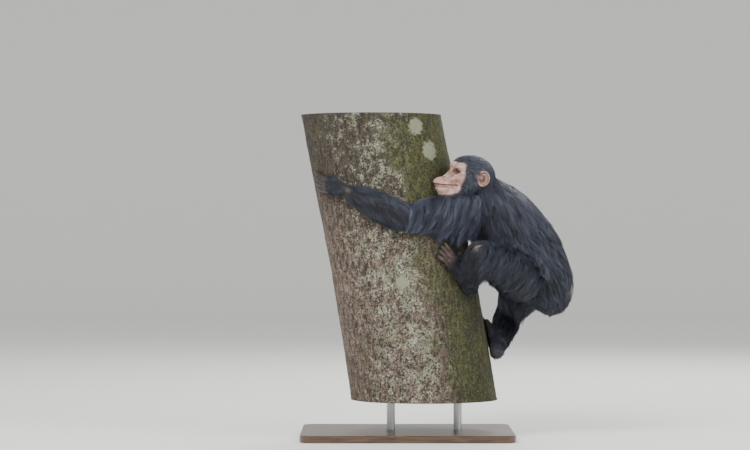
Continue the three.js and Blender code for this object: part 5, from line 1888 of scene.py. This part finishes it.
class SkinLooks(bpy.types.PropertyGroup):
    """Colours of the skin, eyes and nails."""
    face_colour: colour("Face", "Pinkish tan of the bare face and ears", "#b8958a")
    face_flush: colour("Flush", "Warmer tan between the paler parts of the face", "#8f6d60")
    freckle_colour: colour("Freckles", "Small brown spots on the face", "#6f5041")
    # Painted shade in the nostrils, along the mouth and in the ears' hollows, and the darker skin round the
    # eyes, which is partly painted shade.
    dark_skin_and_painted_shade: colour("Shade", "Dark skin round eyes, nostrils and mouth", "#54392f")
    hand_colour: colour("Hand", "Dark brown of the backs of hands and feet", "#4a3832")
    hand_dark: colour("Dark hand", "Darker brown between", "#2a211f")
    body_colour: colour("Body", "Dark skin under the coat", "#17161a")
    worn_colour: colour("Worn", "Pale skin where the coat is worn or bare", "#917d71")
    iris_colour: colour("Iris", "Brown of the iris", "#45220f")
    iris_dark: colour("Dark iris", "Dark lines of the iris", "#241008")
    sclera_colour: colour("White of the eye", "Dark brown round the iris", "#140c08")
    nail_colour: colour("Nail", "Lighter streaks of the nails", "#4b3d35")
    nail_dark: colour("Dark nail", "Dark streaks of the nails", "#241c19")


class CoatLooks(bpy.types.PropertyGroup):
    """Size, fullness and colours of the coat."""
    hair_thick: bpy.props.FloatProperty(
        name="Tuft", description="Half thickness of a tuft", default=0.62 * MM,
        subtype="DISTANCE", unit="LENGTH")
    fullness: bpy.props.FloatProperty(
        name="Fullness", description="Share of the coat's tufts that are made", default=1, min=0.05, max=1,
        subtype="FACTOR")
    seed: bpy.props.IntProperty(name="Seed", description="Start of the coat's random spread", default=11)
    hair_dark: colour("Dark hair", "Black of most of the coat", "#0d0d11")
    # Painted sheen: the blue-grey that the black coat shows where light catches its locks.
    hair_painted_sheen: colour("Lighter hair", "Blue grey of the locks that shine", "#5b6073")
    hair_pale: colour("Pale hair", "White hair of the rump and chin", "#c9c3b8")
    sheen_colour: colour("Sheen", "Cool light that the coat returns", "#a3b6de")


class TrunkLooks(bpy.types.PropertyGroup):
    """Relief and colours of the trunk and the stand."""
    relief: bpy.props.FloatProperty(
        name="Relief", description="Height of the bark's relief", default=9 * MM,
        subtype="DISTANCE", unit="LENGTH")
    plate: bpy.props.FloatProperty(
        name="Plate", description="Width of a bark plate", default=42 * MM,
        subtype="DISTANCE", unit="LENGTH")
    seed: bpy.props.IntProperty(name="Seed", description="Start of the bark's random relief", default=5)
    bark_brown: colour("Bark", "Brown of the bare bark", "#2a241c")
    bark_pink: colour("Pink bark", "Pinkish brown of the bare bark", "#8b766a")
    # Dark bark: the bark's rim on the sawn ends, and also painted shade on the trunk's right side and in its
    # pits.
    dark_bark_and_painted_shade: colour("Dark bark", "Dark brown bark on the damp side", "#1d1b12")
    lichen_green: colour("Green lichen", "Grey green crust", "#6d6f5a")
    lichen_pale: colour("Pale lichen", "Pale grey crust", "#b7b4a5")
    disc_colour: colour("Lichen disc", "Round pale grey green lichens", "#868b72")
    moss_colour: colour("Moss", "Yellow green moss", "#57592d")
    moss_dark: colour("Dark moss", "Moss in the shade", "#2c2d14")
    wood_pale: colour("Wood", "Pale wood of the sawn ends", "#b08f68")
    wood_ring: colour("Growth ring", "Darker late wood", "#7d5c3c")
    board_colour: colour("Board", "Stained wood of the base", "#5f4733")
    board_dark: colour("Dark board", "Dark grain of the base", "#33241a")
    steel_colour: colour("Steel", "Colour of the rods", "#b4b6b9")


class StageLooks(bpy.types.PropertyGroup):
    """Floor, light and room."""
    floor_colour: colour("Floor", "Pale floor", "#eae8e3")
    room_colour: colour("Room", "Colour of the soft light all round", "#e9edf2")
    room_light: bpy.props.FloatProperty(
        name="Room light", description="Strength of the light all round", default=0.95)
    key_power: bpy.props.FloatProperty(
        name="Key", description="Power of the main light", default=420, unit="POWER")
    fill_power: bpy.props.FloatProperty(
        name="Fill", description="Power of the filling light", default=160, unit="POWER")
    back_power: bpy.props.FloatProperty(
        name="Back", description="Power of the light behind", default=260, unit="POWER")


class BuildStage(bpy.types.Operator):
    """Makes the camera, the pale floor and the lights"""
    bl_idname = "chimpanzee.stage"
    bl_label = "Stage"

    def execute(self, context):
        build_stage(context.scene.stage_looks)
        return {"FINISHED"}


class BuildSkin(bpy.types.Operator):
    """Makes one skin for the whole animal, with its face, ears, hands and feet"""
    bl_idname = "chimpanzee.skin"
    bl_label = "Skin"

    def execute(self, context):
        build_skin(context.scene.skin_looks)
        return {"FINISHED"}


class BuildEyes(bpy.types.Operator):
    """Makes the two glass eyes"""
    bl_idname = "chimpanzee.eyes"
    bl_label = "Eyes"

    def execute(self, context):
        build_eyes(context.scene.skin_looks)
        return {"FINISHED"}


class BuildNails(bpy.types.Operator):
    """Makes the nails of fingers and toes"""
    bl_idname = "chimpanzee.nails"
    bl_label = "Nails"

    def execute(self, context):
        build_nails(context.scene.skin_looks)
        return {"FINISHED"}


class BuildCoat(bpy.types.Operator):
    """Grows the coat's tufts from the skin, piece by piece"""
    bl_idname = "chimpanzee.coat"
    bl_label = "Coat"

    def execute(self, context):
        skin = bpy.data.objects.get("chimpanzee_skin")
        if skin is None:
            raise RuntimeError("the coat grows from the skin, so make the skin first")
        looks = context.scene.coat_looks
        material = black_hair(looks)
        ground = Ground(skin.data)
        for number, entry in enumerate(COATS):
            coat_piece(entry, ground, number, looks, material)
        return {"FINISHED"}


class BuildTrunk(bpy.types.Operator):
    """Makes the bark of the cut length of trunk and its sawn ends"""
    bl_idname = "chimpanzee.trunk"
    bl_label = "Trunk"

    def execute(self, context):
        build_trunk(context.scene.trunk_looks)
        return {"FINISHED"}


class BuildStand(bpy.types.Operator):
    """Gives the stand's board and rods their finish"""
    bl_idname = "chimpanzee.stand"
    bl_label = "Stand"

    def execute(self, context):
        build_stand(context.scene.trunk_looks)
        return {"FINISHED"}


OPERATORS = (BuildStage, BuildSkin, BuildEyes, BuildNails, BuildCoat, BuildTrunk, BuildStand)


class ChimpanzeePanel(bpy.types.Panel):
    """Lists the steps and their settings"""
    bl_idname = "VIEW3D_PT_chimpanzee"
    bl_label = "Chimpanzee"
    bl_space_type = "VIEW_3D"
    bl_region_type = "UI"
    bl_category = "Chimpanzee"

    def draw(self, context):
        for operator in OPERATORS:
            self.layout.operator(operator.bl_idname)
        for group in GROUPS:
            looks = getattr(context.scene, group)
            for name in looks.__annotations__:
                self.layout.prop(looks, name)


GROUPS = {
    "skin_looks": SkinLooks, "coat_looks": CoatLooks,
    "trunk_looks": TrunkLooks, "stage_looks": StageLooks,
}


def register():
    for kind in (*GROUPS.values(), *OPERATORS, ChimpanzeePanel):
        bpy.utils.register_class(kind)
    for name, kind in GROUPS.items():
        setattr(bpy.types.Scene, name, bpy.props.PointerProperty(type=kind))


def unregister():
    for name in GROUPS:
        delattr(bpy.types.Scene, name)
    for kind in (ChimpanzeePanel, *reversed(OPERATORS), *reversed(GROUPS.values())):
        bpy.utils.unregister_class(kind)


def main():
    register()
    for operator in OPERATORS:
        area, name = operator.bl_idname.split(".")
        getattr(getattr(bpy.ops, area), name)()


if __name__ == "__main__":
    main()
